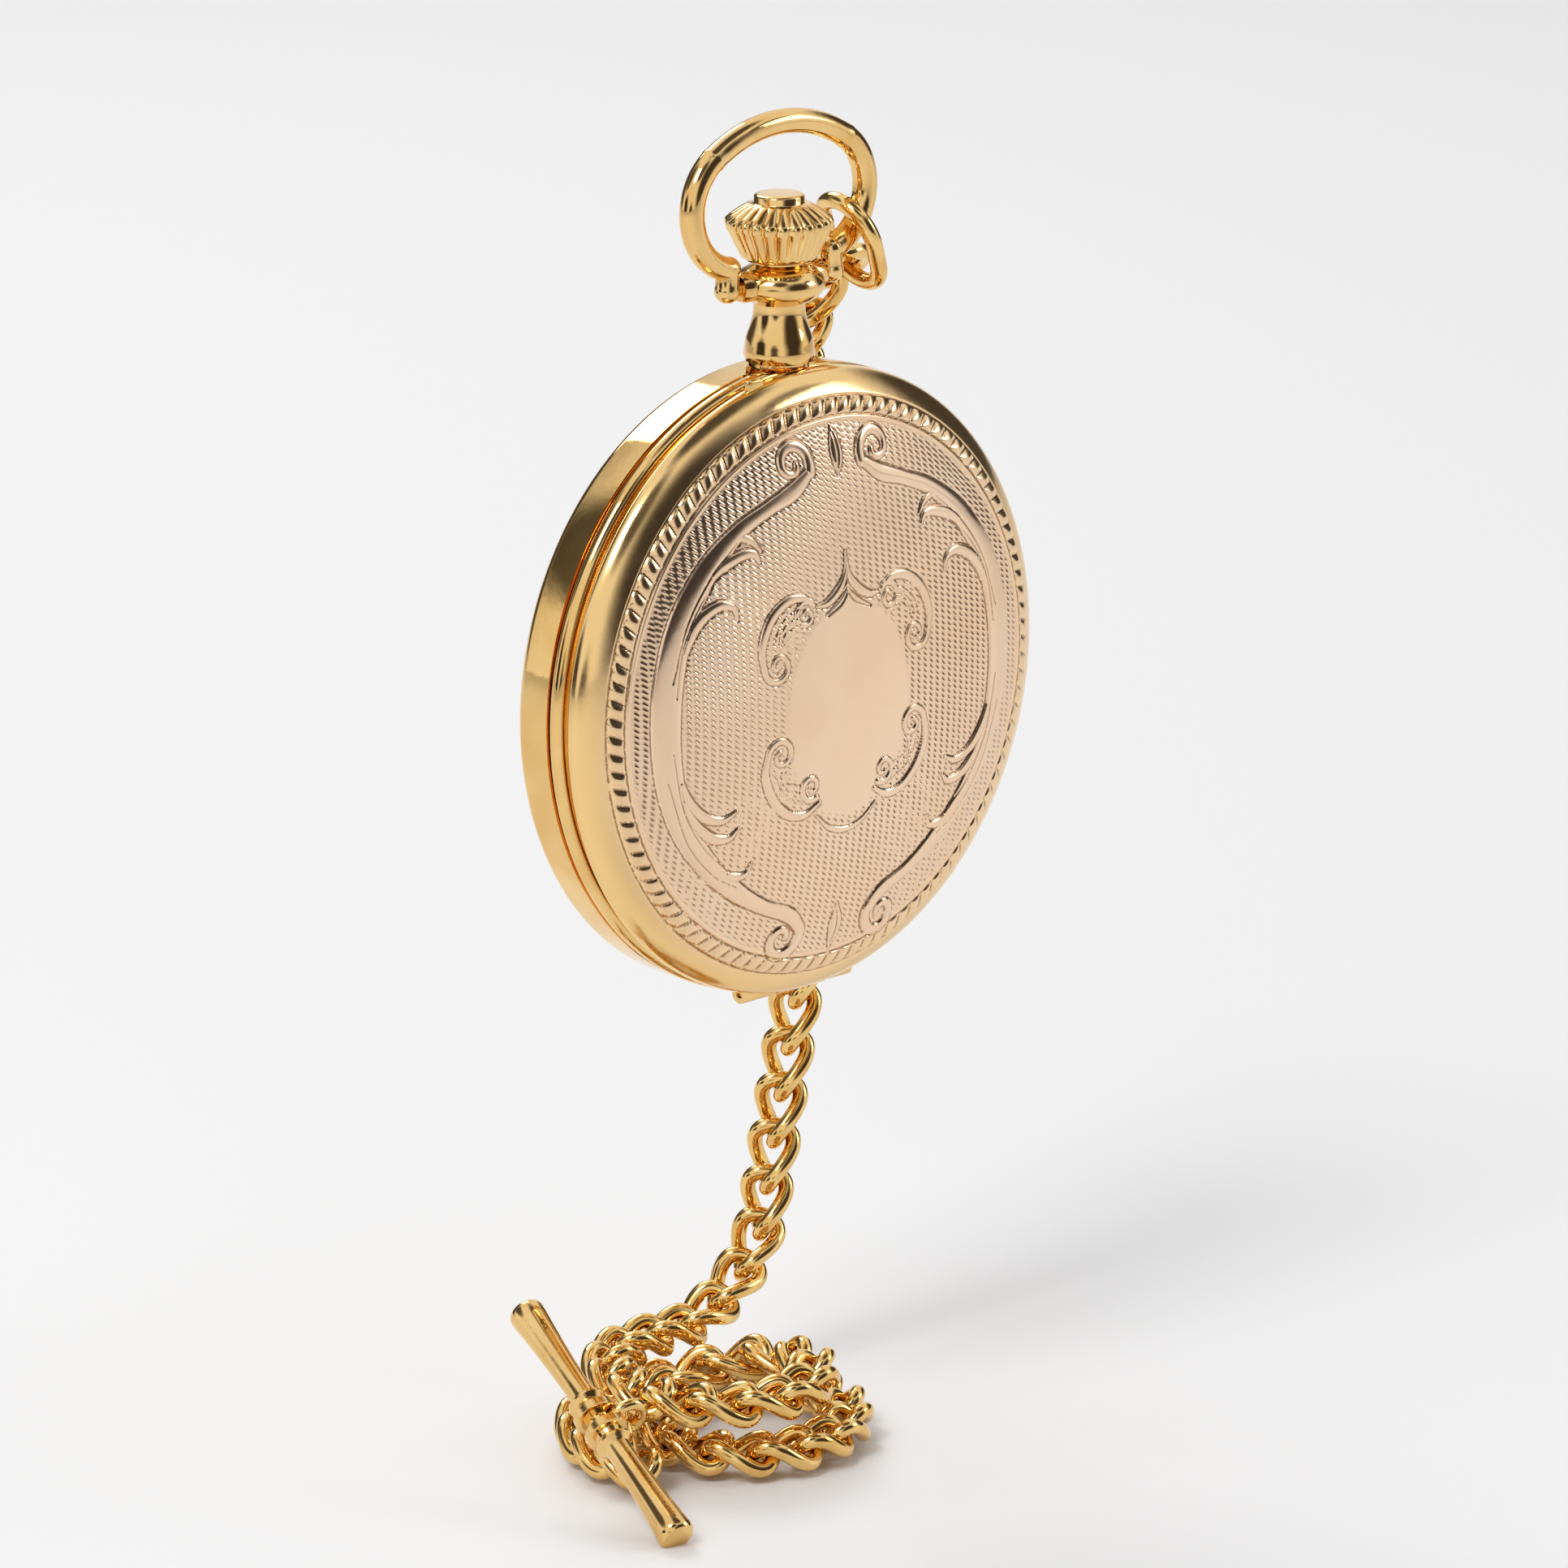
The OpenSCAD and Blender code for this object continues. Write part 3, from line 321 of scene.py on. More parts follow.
def smooth_group():
    """A geometry node group that marks edges sharper than an angle, so the rest shade smooth."""
    group = bpy.data.node_groups.new("smooth_by_angle", "GeometryNodeTree")
    group.interface.new_socket("Geometry", in_out="INPUT", socket_type="NodeSocketGeometry")
    group.interface.new_socket("Geometry", in_out="OUTPUT", socket_type="NodeSocketGeometry")
    nodes, links = group.nodes, group.links
    start, end = nodes.new("NodeGroupInput"), nodes.new("NodeGroupOutput")
    angle = nodes.new("GeometryNodeInputMeshEdgeAngle")
    sharper = nodes.new("FunctionNodeCompare")
    sharper.inputs["B"].default_value = math.radians(34)
    faces = nodes.new("GeometryNodeSetShadeSmooth")
    edges = nodes.new("GeometryNodeSetShadeSmooth")
    edges.domain = "EDGE"
    edges.inputs["Shade Smooth"].default_value = False
    links.new(start.outputs[0], faces.inputs["Geometry"])
    links.new(faces.outputs["Geometry"], edges.inputs["Geometry"])
    links.new(angle.outputs["Unsigned Angle"], sharper.inputs["A"])
    links.new(sharper.outputs["Result"], edges.inputs["Selection"])
    links.new(edges.outputs["Geometry"], end.inputs[0])
    return group


SMOOTH_GROUP = smooth_group()


def smooth_by_angle(obj):
    """Shades an object smooth, but for its sharp edges."""
    modifier = obj.modifiers.new("smooth", "NODES")
    modifier.node_group = SMOOTH_GROUP


# ---- Mesh helpers ----

def stand(points):
    """Local (x, y, z) in mm to the row frame in metres."""
    points = np.asarray(points, float)
    return np.stack([points[:, 0], -points[:, 2], points[:, 1]], 1) * MM


def place(name, mesh, body):
    """Adds a mesh to the scene as a piece that rides on a CAD body."""
    obj = bpy.data.objects.new(name, mesh)
    bpy.context.scene.collection.objects.link(obj)
    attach(obj, body)
    return obj


def mesh_piece(name, points, faces, material, body, smooth=True):
    """A piece made from local points and faces."""
    mesh = bpy.data.meshes.new(name)
    faces = np.asarray(faces, np.int32)
    size = faces.shape[1]
    mesh.vertices.add(len(points))
    mesh.vertices.foreach_set("co", stand(points).astype(np.float32).ravel())
    mesh.loops.add(faces.size)
    mesh.loops.foreach_set("vertex_index", faces.ravel())
    mesh.polygons.add(len(faces))
    mesh.polygons.foreach_set("loop_start", np.arange(0, faces.size, size, dtype=np.int32))
    mesh.polygons.foreach_set("use_smooth", [smooth] * len(faces))
    mesh.update(calc_edges=True)
    mesh.validate()
    mesh.materials.append(material)
    return place(name, mesh, body)


def mesh_points(mesh):
    """A mesh's corners as rows of metres."""
    co = np.zeros(len(mesh.vertices) * 3)
    mesh.vertices.foreach_get("co", co)
    return co.reshape(-1, 3)


def unstand(points):
    """Metres in the row frame back to local mm."""
    return np.stack([points[:, 0], points[:, 2], -points[:, 1]], 1) / MM


def ring_faces(rows, columns, closed_rows=False, flip=False):
    """Quads of a grid whose columns close on themselves, and whose rows may too."""
    i = np.arange(rows if closed_rows else rows - 1)[:, None]
    j = np.arange(columns)[None, :]
    i2, j2 = (i + 1) % rows, (j + 1) % columns
    quads = [i * columns + j, i * columns + j2, i2 * columns + j2, i2 * columns + j]
    quads = quads[::-1] if flip else quads
    return np.stack([np.broadcast_to(q, (len(i), columns)).ravel() for q in quads], 1)


# ---- The engraving, as heights in mm over the cover's face ----

def spline(points, per_span=14):
    """A smooth curve through points, each (x, y, half width)."""
    p = np.asarray(points, float)
    p = np.vstack([2 * p[0] - p[1], p, 2 * p[-1] - p[-2]])
    t = np.linspace(0, 1, per_span, endpoint=False)[:, None]
    rows = []
    for a, b, c, d in zip(p[:-3], p[1:-2], p[2:-1], p[3:]):
        rows.append(0.5 * (2 * b + (c - a) * t + (2 * a - 5 * b + 4 * c - d) * t ** 2
                           + (3 * b - a - 3 * c + d) * t ** 3))
    return np.vstack(rows + [p[-2:-1]])


def spiral(center, radius, start, turns, width):
    """A volute that winds inwards from an angle; turns may be negative."""
    steps = np.linspace(0, 1, 40)
    angle = np.radians(start + 360 * turns * steps)
    r = radius * (1 - 0.78 * steps)
    w = width * (1 - 0.55 * steps)
    return np.stack([center[0] + r * np.cos(angle), center[1] + r * np.sin(angle), w], 1)


def mirrored(curve):
    """The same curve on the other side of the upright middle line."""
    return curve * np.array([-1, 1, 1])


class Relief:
    """Heights over scattered points, built up group by group."""

    def __init__(self, x, y):
        self.x, self.y = x, y
        self.height = np.zeros_like(x)
        self.plain = np.zeros_like(x)

    def nearest(self, curves, reach):
        """Distance outside the nearest ribbon of a group (negative inside), and its half width there."""
        best = np.full(len(self.x), 9.0)
        half = np.full(len(self.x), 1.0)
        for curve in curves:
            pad = curve[:, 2].max() + reach
            low, high = curve[:, :2].min(0) - pad, curve[:, :2].max(0) + pad
            box = (self.x > low[0]) & (self.x < high[0]) & (self.y > low[1]) & (self.y < high[1])
            near = np.nonzero(box)[0]
            px, py = self.x[near], self.y[near]
            found, width = best[near], half[near]
            for a, b in zip(curve[:-1], curve[1:]):
                span = b[:2] - a[:2]
                length = max(span @ span, 1e-9)
                t = np.clip(((px - a[0]) * span[0] + (py - a[1]) * span[1]) / length, 0, 1)
                w = a[2] + t * (b[2] - a[2])
                distance = np.hypot(px - a[0] - t * span[0], py - a[1] - t * span[1]) - w
                closer = distance < found
                found = np.where(closer, distance, found)
                width = np.where(closer, w, width)
            best[near], half[near] = found, width
        return best, half

    def group(self, curves, rise, groove=0.045, margin=0.28):
        """Raises rounded ribbons along the curves, with a cut line round the whole group."""
        best, half = self.nearest(curves, margin + 0.3)
        inside = np.clip(-best / np.maximum(half, 0.05), 0, 1)
        raised = rise * np.clip(half / 0.45, 0.3, 1) * np.sqrt(1 - (1 - inside) ** 2)
        cut = -groove * np.exp(-((best - 0.07) / 0.1) ** 2)
        self.height = np.where(best < 0, np.maximum(self.height, raised), self.height + cut)
        self.plain = np.maximum(self.plain, np.clip(1 - best / margin, 0, 1))

    def lines(self, curves, depth, width=0.08):
        """Cuts fine lines along the curves."""
        best, _ = self.nearest([curve * np.array([1, 1, 0]) for curve in curves], 0.4)
        self.height -= depth * np.exp(-(best / width) ** 2)


def scroll_frame():
    """The big C-scroll on one side, with its volutes and leaf tips."""
    main = spline([
        (-3.0, 17.0, 0.45), (-4.6, 16.0, 0.65), (-7.2, 15.1, 0.55), (-10.2, 13.8, 0.65),
        (-13.4, 11.2, 0.95), (-16.0, 7.4, 1.15), (-17.3, 2.6, 1.25), (-17.3, -2.6, 1.2),
        (-16.0, -7.2, 1.05), (-13.4, -11.0, 0.9), (-10.4, -13.7, 0.75), (-7.4, -15.5, 0.55),
        (-4.9, -16.6, 0.6), (-3.6, -17.9, 0.5)])
    top = spiral((-4.3, 17.9), 1.75, -25, 1.05, 0.5)
    bottom = spiral((-5.2, -18.5), 1.75, 15, -1.05, 0.5)
    leaves = [
        [(-16.6, 4.6, 0.5), (-15.4, 8.4, 0.6), (-13.2, 10.9, 0.55), (-10.6, 12.0, 0.42),
         (-9.0, 12.1, 0.32), (-8.5, 11.4, 0.12)],
        [(-16.8, 1.8, 0.4), (-16.2, 5.0, 0.5), (-14.6, 7.6, 0.5), (-12.6, 8.7, 0.4),
         (-11.2, 8.4, 0.25), (-10.9, 7.5, 0.1)],
        [(-10.2, 13.6, 0.4), (-9.0, 13.0, 0.25), (-8.3, 12.2, 0.1)],
        [(-16.9, -2.6, 0.4), (-15.8, -5.2, 0.45), (-14.2, -7.0, 0.42), (-12.4, -7.7, 0.3),
         (-11.0, -7.2, 0.1)],
        [(-16.4, -4.6, 0.45), (-15.1, -7.3, 0.5), (-13.2, -8.9, 0.42), (-11.6, -9.2, 0.28),
         (-10.8, -8.6, 0.1)],
        [(-15.2, -8.4, 0.5), (-13.6, -10.8, 0.52), (-11.4, -12.3, 0.42), (-9.8, -12.4, 0.25),
         (-9.3, -11.6, 0.1)],
        [(-12.0, -12.4, 0.45), (-10.2, -13.7, 0.35), (-9.2, -14.2, 0.1)],
    ]
    return [main, top, bottom] + [spline(leaf) for leaf in leaves]


def corner_scrolls():
    """One upper and one lower corner of the cartouche, each a shell between two volutes."""
    upper = spline([(-3.5, 7.3, 0.16), (-4.6, 8.05, 0.28), (-6.2, 8.0, 0.36), (-7.8, 6.9, 0.4),
                    (-8.7, 5.0, 0.34), (-8.6, 3.2, 0.22)])
    lower = spline([(-2.9, -8.0, 0.14), (-4.4, -8.7, 0.28), (-6.1, -8.3, 0.36), (-7.6, -6.9, 0.4),
                    (-8.4, -5.0, 0.34), (-8.2, -3.3, 0.22)])
    volutes = [
        spiral((-4.35, 6.7), 1.12, 60, 1.25, 0.24), spiral((-7.2, 3.3), 1.38, 175, 1.2, 0.26),
        spiral((-6.9, -3.6), 1.32, 175, -1.2, 0.26), spiral((-3.8, -6.6), 1.1, -60, -1.25, 0.24)]
    return [upper, lower] + volutes


def shell_lines():
    """Fine parallel arcs inside the corner shells."""
    curves = []
    for k in range(3):
        s = 0.62 * (k + 1)
        curves.append(spline([(-5.0, 8.0 - s, 0), (-6.4, 7.4 - s * 0.9, 0),
                              (-7.6 + s * 0.5, 6.1 - s * 0.5, 0), (-8.1 + s * 0.8, 4.9, 0)]))
        curves.append(spline([(-4.9, -8.1 + s, 0), (-6.2, -7.5 + s * 0.9, 0),
                              (-7.4 + s * 0.5, -6.1 + s * 0.5, 0), (-7.9 + s * 0.8, -4.9, 0)]))
    return curves


def cartouche_distance(x, y):
    """Signed distance, roughly, to the blank shield: negative inside."""
    body = np.hypot(x / 6.4, (y + 1.1) / 8.4) - 1
    peak = np.abs(x) / 3.4 + (y - 9.2) / 5.5
    return np.minimum(body * 6.5, np.maximum(peak, 4.0 - y) * 1.6)


def guilloche(x, y):
    """Barleycorn engine turning: columns of short slanted cuts."""
    column = x / 0.72
    across = column - np.floor(column)
    swell = 0.5 - 0.5 * np.cos(2 * np.pi * across)
    return 0.042 * swell * np.cos(2 * np.pi * (y / 0.44 + 1.05 * across + 0.5 * np.floor(column)))


def both_sides(curves):
    """Curves with their mirror images."""
    return curves + [mirrored(curve) for curve in curves]


def flow_lines():
    """Lines that part the leaves from the big scroll."""
    return [spline([(-10.4, 13.1, 0), (-13.0, 11.0, 0), (-15.4, 7.8, 0), (-16.9, 3.6, 0)]),
            spline([(-11.6, 11.4, 0), (-14.2, 9.0, 0), (-15.9, 6.0, 0), (-16.6, 2.4, 0)]),
            spline([(-16.9, -1.8, 0), (-15.9, -6.2, 0), (-14.0, -9.4, 0), (-11.8, -11.4, 0)]),
            spline([(-17.3, -4.0, 0), (-15.4, -8.9, 0), (-12.8, -11.9, 0), (-10.6, -13.2, 0)])]


def shield_frame(relief):
    """The brow over the blank shield and the line under its foot."""
    brow = spline([(0, 10.9, 0.05), (0.15, 9.3, 0.16), (0.9, 8.1, 0.34), (2.1, 7.3, 0.3), (3.2, 7.2, 0.1)])
    inner = spline([(0, 8.0, 0.05), (0.9, 7.1, 0.15), (2.2, 6.4, 0.05)])
    foot = spline([(-3.1, -9.0, 0.05), (-1.7, -10.2, 0.16), (0, -10.65, 0.2),
                   (1.7, -10.2, 0.16), (3.1, -9.0, 0.05)])
    relief.group(both_sides([brow]), 0.2, 0.06)
    relief.group(both_sides([inner]), 0.14, 0.06)
    relief.group([foot], 0.1)


def engraving(x, y):
    """Height in mm of the whole engraved design over the face of a cover."""
    relief = Relief(x, y)
    relief.group(both_sides(scroll_frame()), 0.19)
    relief.lines(both_sides(flow_lines()), 0.05)
    relief.group(both_sides(corner_scrolls()), 0.15)
    relief.lines(both_sides(shell_lines()), 0.05)
    for y0, y1 in ((16.4, 20.2), (-20.4, -16.6)):
        mid = (y0 + y1) / 2
        relief.group([spline([(0.1, y0, 0.03), (0.25, mid, 0.62), (0.1, y1, 0.03)])], 0.16)
        relief.lines([spline([(0.1, y0 + 0.6, 0), (0.3, mid, 0), (0.1, y1 - 0.6, 0)])], 0.08)
    shield_frame(relief)
    shield = cartouche_distance(x, y)
    plain = np.maximum(relief.plain, np.clip(0.5 - shield / 0.5, 0, 1))
    r = np.hypot(x, y)
    field = np.clip((20.3 - r) / 0.25, 0, 1)
    height = relief.height + guilloche(x, y) * (1 - plain) * field
    height -= 0.03 * (1 - plain) * field
    return height + border(r, np.arctan2(y, x))


def border(r, angle):
    """The rope of scallops between two cut rings near the rim."""
    turns = angle / (2 * np.pi) * 100
    wave = turns + 0.32 * (r - 21.3)
    bead = np.abs(np.sin(np.pi * wave)) ** 0.75
    inside = np.clip(1 - ((r - 21.28 - 0.14 * bead) / 0.62) ** 2, 0, 1)
    rope = 0.22 * np.sqrt(inside) * bead
    rings = (0.085 * np.exp(-((r - 20.55) / 0.12) ** 2) - 0.05 * np.exp(-((r - 20.78) / 0.08) ** 2)
             - 0.06 * np.exp(-((r - 22.1) / 0.09) ** 2) + 0.03 * np.exp(-((r - 20.4) / 0.07) ** 2))
    return rope + rings


def engraved_face(a, rows):
    """The cover's outer side: an ellipse turned about its middle, raised by the engraving."""
    full = 22.4
    flat = np.linspace(0.02, full, rows)
    side = COVER_R * np.sin(np.linspace(np.arcsin(full / COVER_R), np.pi / 2, 26))[1:]
    r, angle = np.meshgrid(np.concatenate([flat, side]), a, indexing="ij")
    x, y = r * np.cos(angle), r * np.sin(angle)
    lift = engraving(x.ravel(), y.ravel()).reshape(x.shape) * np.clip((full - 0.05 - r) / 0.15, 0, 1)
    z = DOME * np.sqrt(np.clip(1 - (r / COVER_R) ** 2, 0, 1))
    slope = DOME * r / COVER_R ** 2 / np.sqrt(np.clip(1 - (r / COVER_R) ** 2, 0.02, 1))
    length = np.hypot(1, slope)
    x += lift * slope / length * np.cos(angle)
    y += lift * slope / length * np.sin(angle)
    return np.stack([x, y, z + lift / length], -1)


def cover_shell(columns, rows):
    """The engraved front cover: outer face, rolled lip and plain inner dome."""
    a = np.linspace(0, 2 * np.pi, columns, endpoint=False)
    wall = COVER_R - COVER_T
    inside = [(COVER_R, 0), (COVER_R - 0.12, -0.02), (wall + 0.1, -0.02), (wall, 0), (wall, 0)]
    for t in np.linspace(0, math.pi / 2, 40)[1:]:
        inside.append((max(wall * math.cos(t), 0.02), (DOME - COVER_T) * math.sin(t)))
    rings = [np.stack([r * np.cos(a), r * np.sin(a), np.full(columns, z)], -1) for r, z in inside]
    points = np.concatenate([engraved_face(a, rows), rings], 0).reshape(-1, 3)
    points[:, 2] += SEAM
    total = len(points) // columns
    piece = mesh_piece("lid_engraved", points, ring_faces(total, columns), PALE_GOLD, "lid")
    cap_ends(piece, columns, total)
    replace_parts(piece, "front_lid")


def cap_ends(piece, columns, rows):
    """Closes the small hole at each end of a grid of rings."""
    bm = bmesh.new()
    bm.from_mesh(piece.data)
    bm.verts.ensure_lookup_table()
    for first in (0, (rows - 1) * columns):
        ring = [bm.verts[first + i] for i in range(columns)]
        try:
            bm.faces.new(ring).smooth = True
        except ValueError:
            pass
    bmesh.ops.recalc_face_normals(bm, faces=bm.faces)
    bm.to_mesh(piece.data)
    bm.free()


def revolve(name, outline, columns, flutes, body):
    """Turns rows of (radius, height, flute depth) about the local y axis."""
    a = np.linspace(0, 2 * np.pi, columns, endpoint=False)
    fluting = 1 - np.abs(np.cos(a * flutes / 2)) ** 0.8
    rows = []
    for r, h, depth in outline:
        reach = r - depth * fluting
        rows.append(np.stack([reach * np.cos(a), np.full(columns, h), reach * np.sin(a)], 1))
    piece = mesh_piece(name, np.concatenate(rows), ring_faces(len(outline), columns), GOLD, body)
    cap_ends(piece, columns, len(outline))
    return piece


def labelled_triangles(mesh):
    """A mesh's welded corners, its triangles, and a label per corner that each solid shares."""
    co = mesh_points(mesh)
    mesh.calc_loop_triangles()
    tri = np.zeros(len(mesh.loop_triangles) * 3, np.int64)
    mesh.loop_triangles.foreach_get("vertices", tri)
    _, same = np.unique(np.round(co, 7), axis=0, return_inverse=True)
    same = same.ravel()
    tri = same[tri].reshape(-1, 3)
    spots = np.zeros((same.max() + 1, 3))
    spots[same] = co
    label = np.arange(len(spots))
    while True:
        low = label[tri].min(1)
        new = label.copy()
        for corner in range(3):
            np.minimum.at(new, tri[:, corner], low)
        new = new[new]
        if (new == label).all():
            return spots, tri, label
        label = new


def solid_axes(mesh):
    """Area-weighted centre and principal axes of each separate solid of a CAD node's mesh."""
    spots, tri, label = labelled_triangles(mesh)
    found = []
    for value in np.unique(label[tri[:, 0]]):
        corners = spots[tri[label[tri[:, 0]] == value]]
        area = np.linalg.norm(np.cross(corners[:, 1] - corners[:, 0], corners[:, 2] - corners[:, 0]), axis=1)
        middle = corners.mean(1)
        centre = (middle * area[:, None]).sum(0) / area.sum()
        offset = middle - centre
        axes = np.linalg.eigh((offset * area[:, None]).T @ offset)[1][:, ::-1]
        axes[:, 2] = np.cross(axes[:, 0], axes[:, 1])
        found.append((centre, axes))
    return found


def tube(path, radius, sides):
    """Rings of points round a closed path, carried round without twisting."""
    ahead = np.roll(path, -1, 0) - np.roll(path, 1, 0)
    ahead /= np.linalg.norm(ahead, axis=1)[:, None]
    side = np.zeros_like(path)
    side[0] = np.cross(ahead[0], (0, 0, 1))
    side[0] /= np.linalg.norm(side[0])
    for i in range(1, len(path)):
        v = side[i - 1] - ahead[i] * (side[i - 1] @ ahead[i])
        side[i] = v / np.linalg.norm(v)
    last = side[-1] - ahead[0] * (side[-1] @ ahead[0])
    up = np.cross(ahead[0], side[0])
    slip = math.atan2(last @ up, last @ side[0])
    a = np.linspace(0, 2 * np.pi, sides, endpoint=False)
    turn = -slip * np.arange(len(path)) / len(path)
    up = np.cross(ahead, side)
    angle = turn[:, None] + a[None, :]
    return path[:, None] + radius * (np.cos(angle)[..., None] * side[:, None]
                                     + np.sin(angle)[..., None] * up[:, None])


def curb_links():
    """Rounder curb links, bent from thicker wire, in the places of the CAD's links."""
    t = np.linspace(0, 2 * np.pi, 72, endpoint=False)
    path = np.stack([2.5 * np.cos(t), 1.6 * np.sin(t), 0.85 * np.sin(2 * t)], 1)
    shape = tube(path, 0.62, 20).reshape(-1, 3) * MM
    quads = ring_faces(len(t), 20, closed_rows=True)
    for name in CHAIN_NODES:
        if not name.startswith("chain_") or name == "chain_ring":
            continue
        points, faces = [], []
        for centre, axes in solid_axes(frame["nodes"][name].data):
            faces.append(quads + len(points) * len(shape))
            points.append(unstand(centre + shape @ axes.T))
        body = body_of(frame["nodes"][name])[0]
        links = mesh_piece("links_" + name, np.concatenate(points), np.concatenate(faces),
                           CHAIN_GOLD, body)
        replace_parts(links, name)


def bar_line():
    """Middle, direction and half length in mm of the T-bar, from the CAD bar's two ends."""
    mesh = frame["nodes"]["t_bar"].data
    co = mesh_points(mesh)
    height = co @ solid_axes(mesh)[0][1][:, 0]
    ends = [co[height < height.min() + 0.9 * MM].mean(0), co[height > height.max() - 0.9 * MM].mean(0)]
    axis = (ends[1] - ends[0]) / np.linalg.norm(ends[1] - ends[0])
    return (ends[0] + ends[1]) / 2, axis, (height.max() - height.min()) / 2 / MM


def bar_sleeve():
    """Tapered arms and a two-collar spool round the T-bar, closed over its ends."""
    middle, axis, reach = bar_line()
    side = np.cross(axis, (0, 0, 1))
    side /= np.linalg.norm(side)
    up = np.cross(axis, side)
    arm = [(0.5, 0.52), (1.55, 0.52), (1.7, 0.62), (1.7, 1.2), (1.55, 1.3), (1.2, 1.36), (1.12, 1.7),
           (1.5, 2.1), (1.5, 2.3), (1.02, 2.7), (1.0, 3.5)]
    arm += [(1.0 + 0.42 * t ** 1.6, 3.5 + (reach - 4.0) * t) for t in np.linspace(0.1, 1, 10)]
    arm += [(1.36, reach - 0.15), (1.2, reach + 0.03), (0.9, reach + 0.09), (0.05, reach + 0.1)]
    a = np.linspace(0, 2 * np.pi, 64, endpoint=False)[:, None]
    for name, way in (("bar_arm_low", -1), ("bar_arm_high", 1)):
        rows = [middle + way * h * MM * axis + r * MM * (np.cos(a) * side + np.sin(a) * up) for r, h in arm]
        piece = mesh_piece(name, unstand(np.concatenate(rows)), ring_faces(len(arm), 64, flip=way < 0),
                           GOLD, "t_bar")
        cap_ends(piece, 64, len(arm))
        smooth_by_angle(piece)


def crown():
    """The push crown: flat button, fluted cone shoulder, short rim and fluted bowl."""
    outline = [(0.5, 4.95, 0), (2.6, 4.95, 0), (2.85, 4.75, 0), (3.0, 4.5, 0.12), (3.3, 3.9, 0.3),
               (3.65, 3.2, 0.36), (3.9, 2.7, 0.36), (4.03, 2.5, 0.3), (4.06, 2.35, 0.26),
               (4.06, 1.95, 0.26), (3.98, 1.8, 0.26), (3.5, 1.45, 0.3), (2.9, 1.05, 0.28),
               (2.45, 0.8, 0.12), (2.25, 0.73, 0), (1.95, 0.7, 0), (1.9, 0.64, 0), (1.9, 0.2, 0),
               (1.84, 0.1, 0), (1.72, 0.03, 0), (1.5, 0, 0), (0.5, 0, 0)]
    rows = [(r, CROWN_TOP - below, depth) for r, below, depth in outline]
    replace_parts(revolve("crown_fluted", rows, 528, 22, "crown"), "crown")


def lid_hinge():
    """The cover's own knuckle at 6 o'clock and its thumb lip."""
    a = np.linspace(0, 2 * np.pi, 48, endpoint=False)
    rows = []
    for x, r in ((-2.1, 0.4), (-2.1, 0.74), (-2.04, 0.8), (2.04, 0.8), (2.1, 0.74), (2.1, 0.4)):
        rows.append(np.stack([np.full(48, x), HINGE_Y + r * np.cos(a),
                              HINGE_Z + r * np.sin(a)], 1))
    knuckle = mesh_piece("lid_knuckle", np.concatenate(rows), ring_faces(6, 48, closed_rows=True),
                         GOLD, "lid")
    smooth_by_angle(knuckle)
    block("lid_lip", (-6.0, COVER_R - 1.02, SEAM + 0.02), (-4.4, COVER_R - 0.05, SEAM + 0.48),
          GOLD, "lid")
    block("lid_strap", (-2.08, HINGE_Y - 0.33, HINGE_Z + 0.1), (2.08, HINGE_Y + 0.22, SEAM + 0.48),
          GOLD, "lid")


def block(name, low, high, material, body, bevel=0.12):
    """A small bar with rounded edges, between two local corners."""
    bm = bmesh.new()
    bmesh.ops.create_cube(bm, size=1)
    low, high = np.array(low), np.array(high)
    for v in bm.verts:
        local = (low + high) / 2 + np.array(v.co) * (high - low)
        v.co = Vector(stand([local])[0])
    bmesh.ops.bevel(bm, geom=list(bm.edges), offset=bevel * MM, segments=3, profile=0.5, affect="EDGES")
    mesh = bpy.data.meshes.new(name)
    bm.to_mesh(mesh)
    bm.free()
    mesh.polygons.foreach_set("use_smooth", [True] * len(mesh.polygons))
    mesh.materials.append(material)
    return place(name, mesh, body)


# ---- Dial ----

def ticks(name, center, face, marks, inner, outer, width):
    """A track of short painted bars, broader every fifth, with a thin ring on each side."""
    corners, faces = [], []
    for i in range(marks):
        angle = math.pi / 2 - 2 * math.pi * i / marks
        w = width * (1.0 if i % 5 == 0 else 0.5)
        for z in (face + 0.002, face + 0.03):
            for r, s in ((inner, -w), (outer, -w), (outer, w), (inner, w)):
                corners.append((center[0] + r * math.cos(angle) - s * math.sin(angle),
                                center[1] + r * math.sin(angle) + s * math.cos(angle), z))
        k = i * 8
        faces += [(k, k + 3, k + 2, k + 1), (k + 4, k + 5, k + 6, k + 7)]
        faces += [(k + j, k + (j + 1) % 4, k + 4 + (j + 1) % 4, k + 4 + j) for j in range(4)]
    mesh_piece(name, corners, faces, PAINT, "case", smooth=False)
    thin_ring(name + "_inner", center, face, inner, width / 2)
    thin_ring(name + "_outer", center, face, outer, width / 2)


def thin_ring(name, center, face, radius, half):
    """A painted circle on the dial."""
    a = np.linspace(0, 2 * np.pi, 180, endpoint=False)
    rows = [np.stack([center[0] + r * np.cos(a), center[1] + r * np.sin(a), np.full(180, z)], 1)
            for r, z in ((radius - half, face + 0.002), (radius - half, face + 0.03),
                         (radius + half, face + 0.03), (radius + half, face + 0.002))]
    mesh_piece(name, np.concatenate(rows), ring_faces(4, 180, closed_rows=True),
               PAINT, "case", smooth=False)


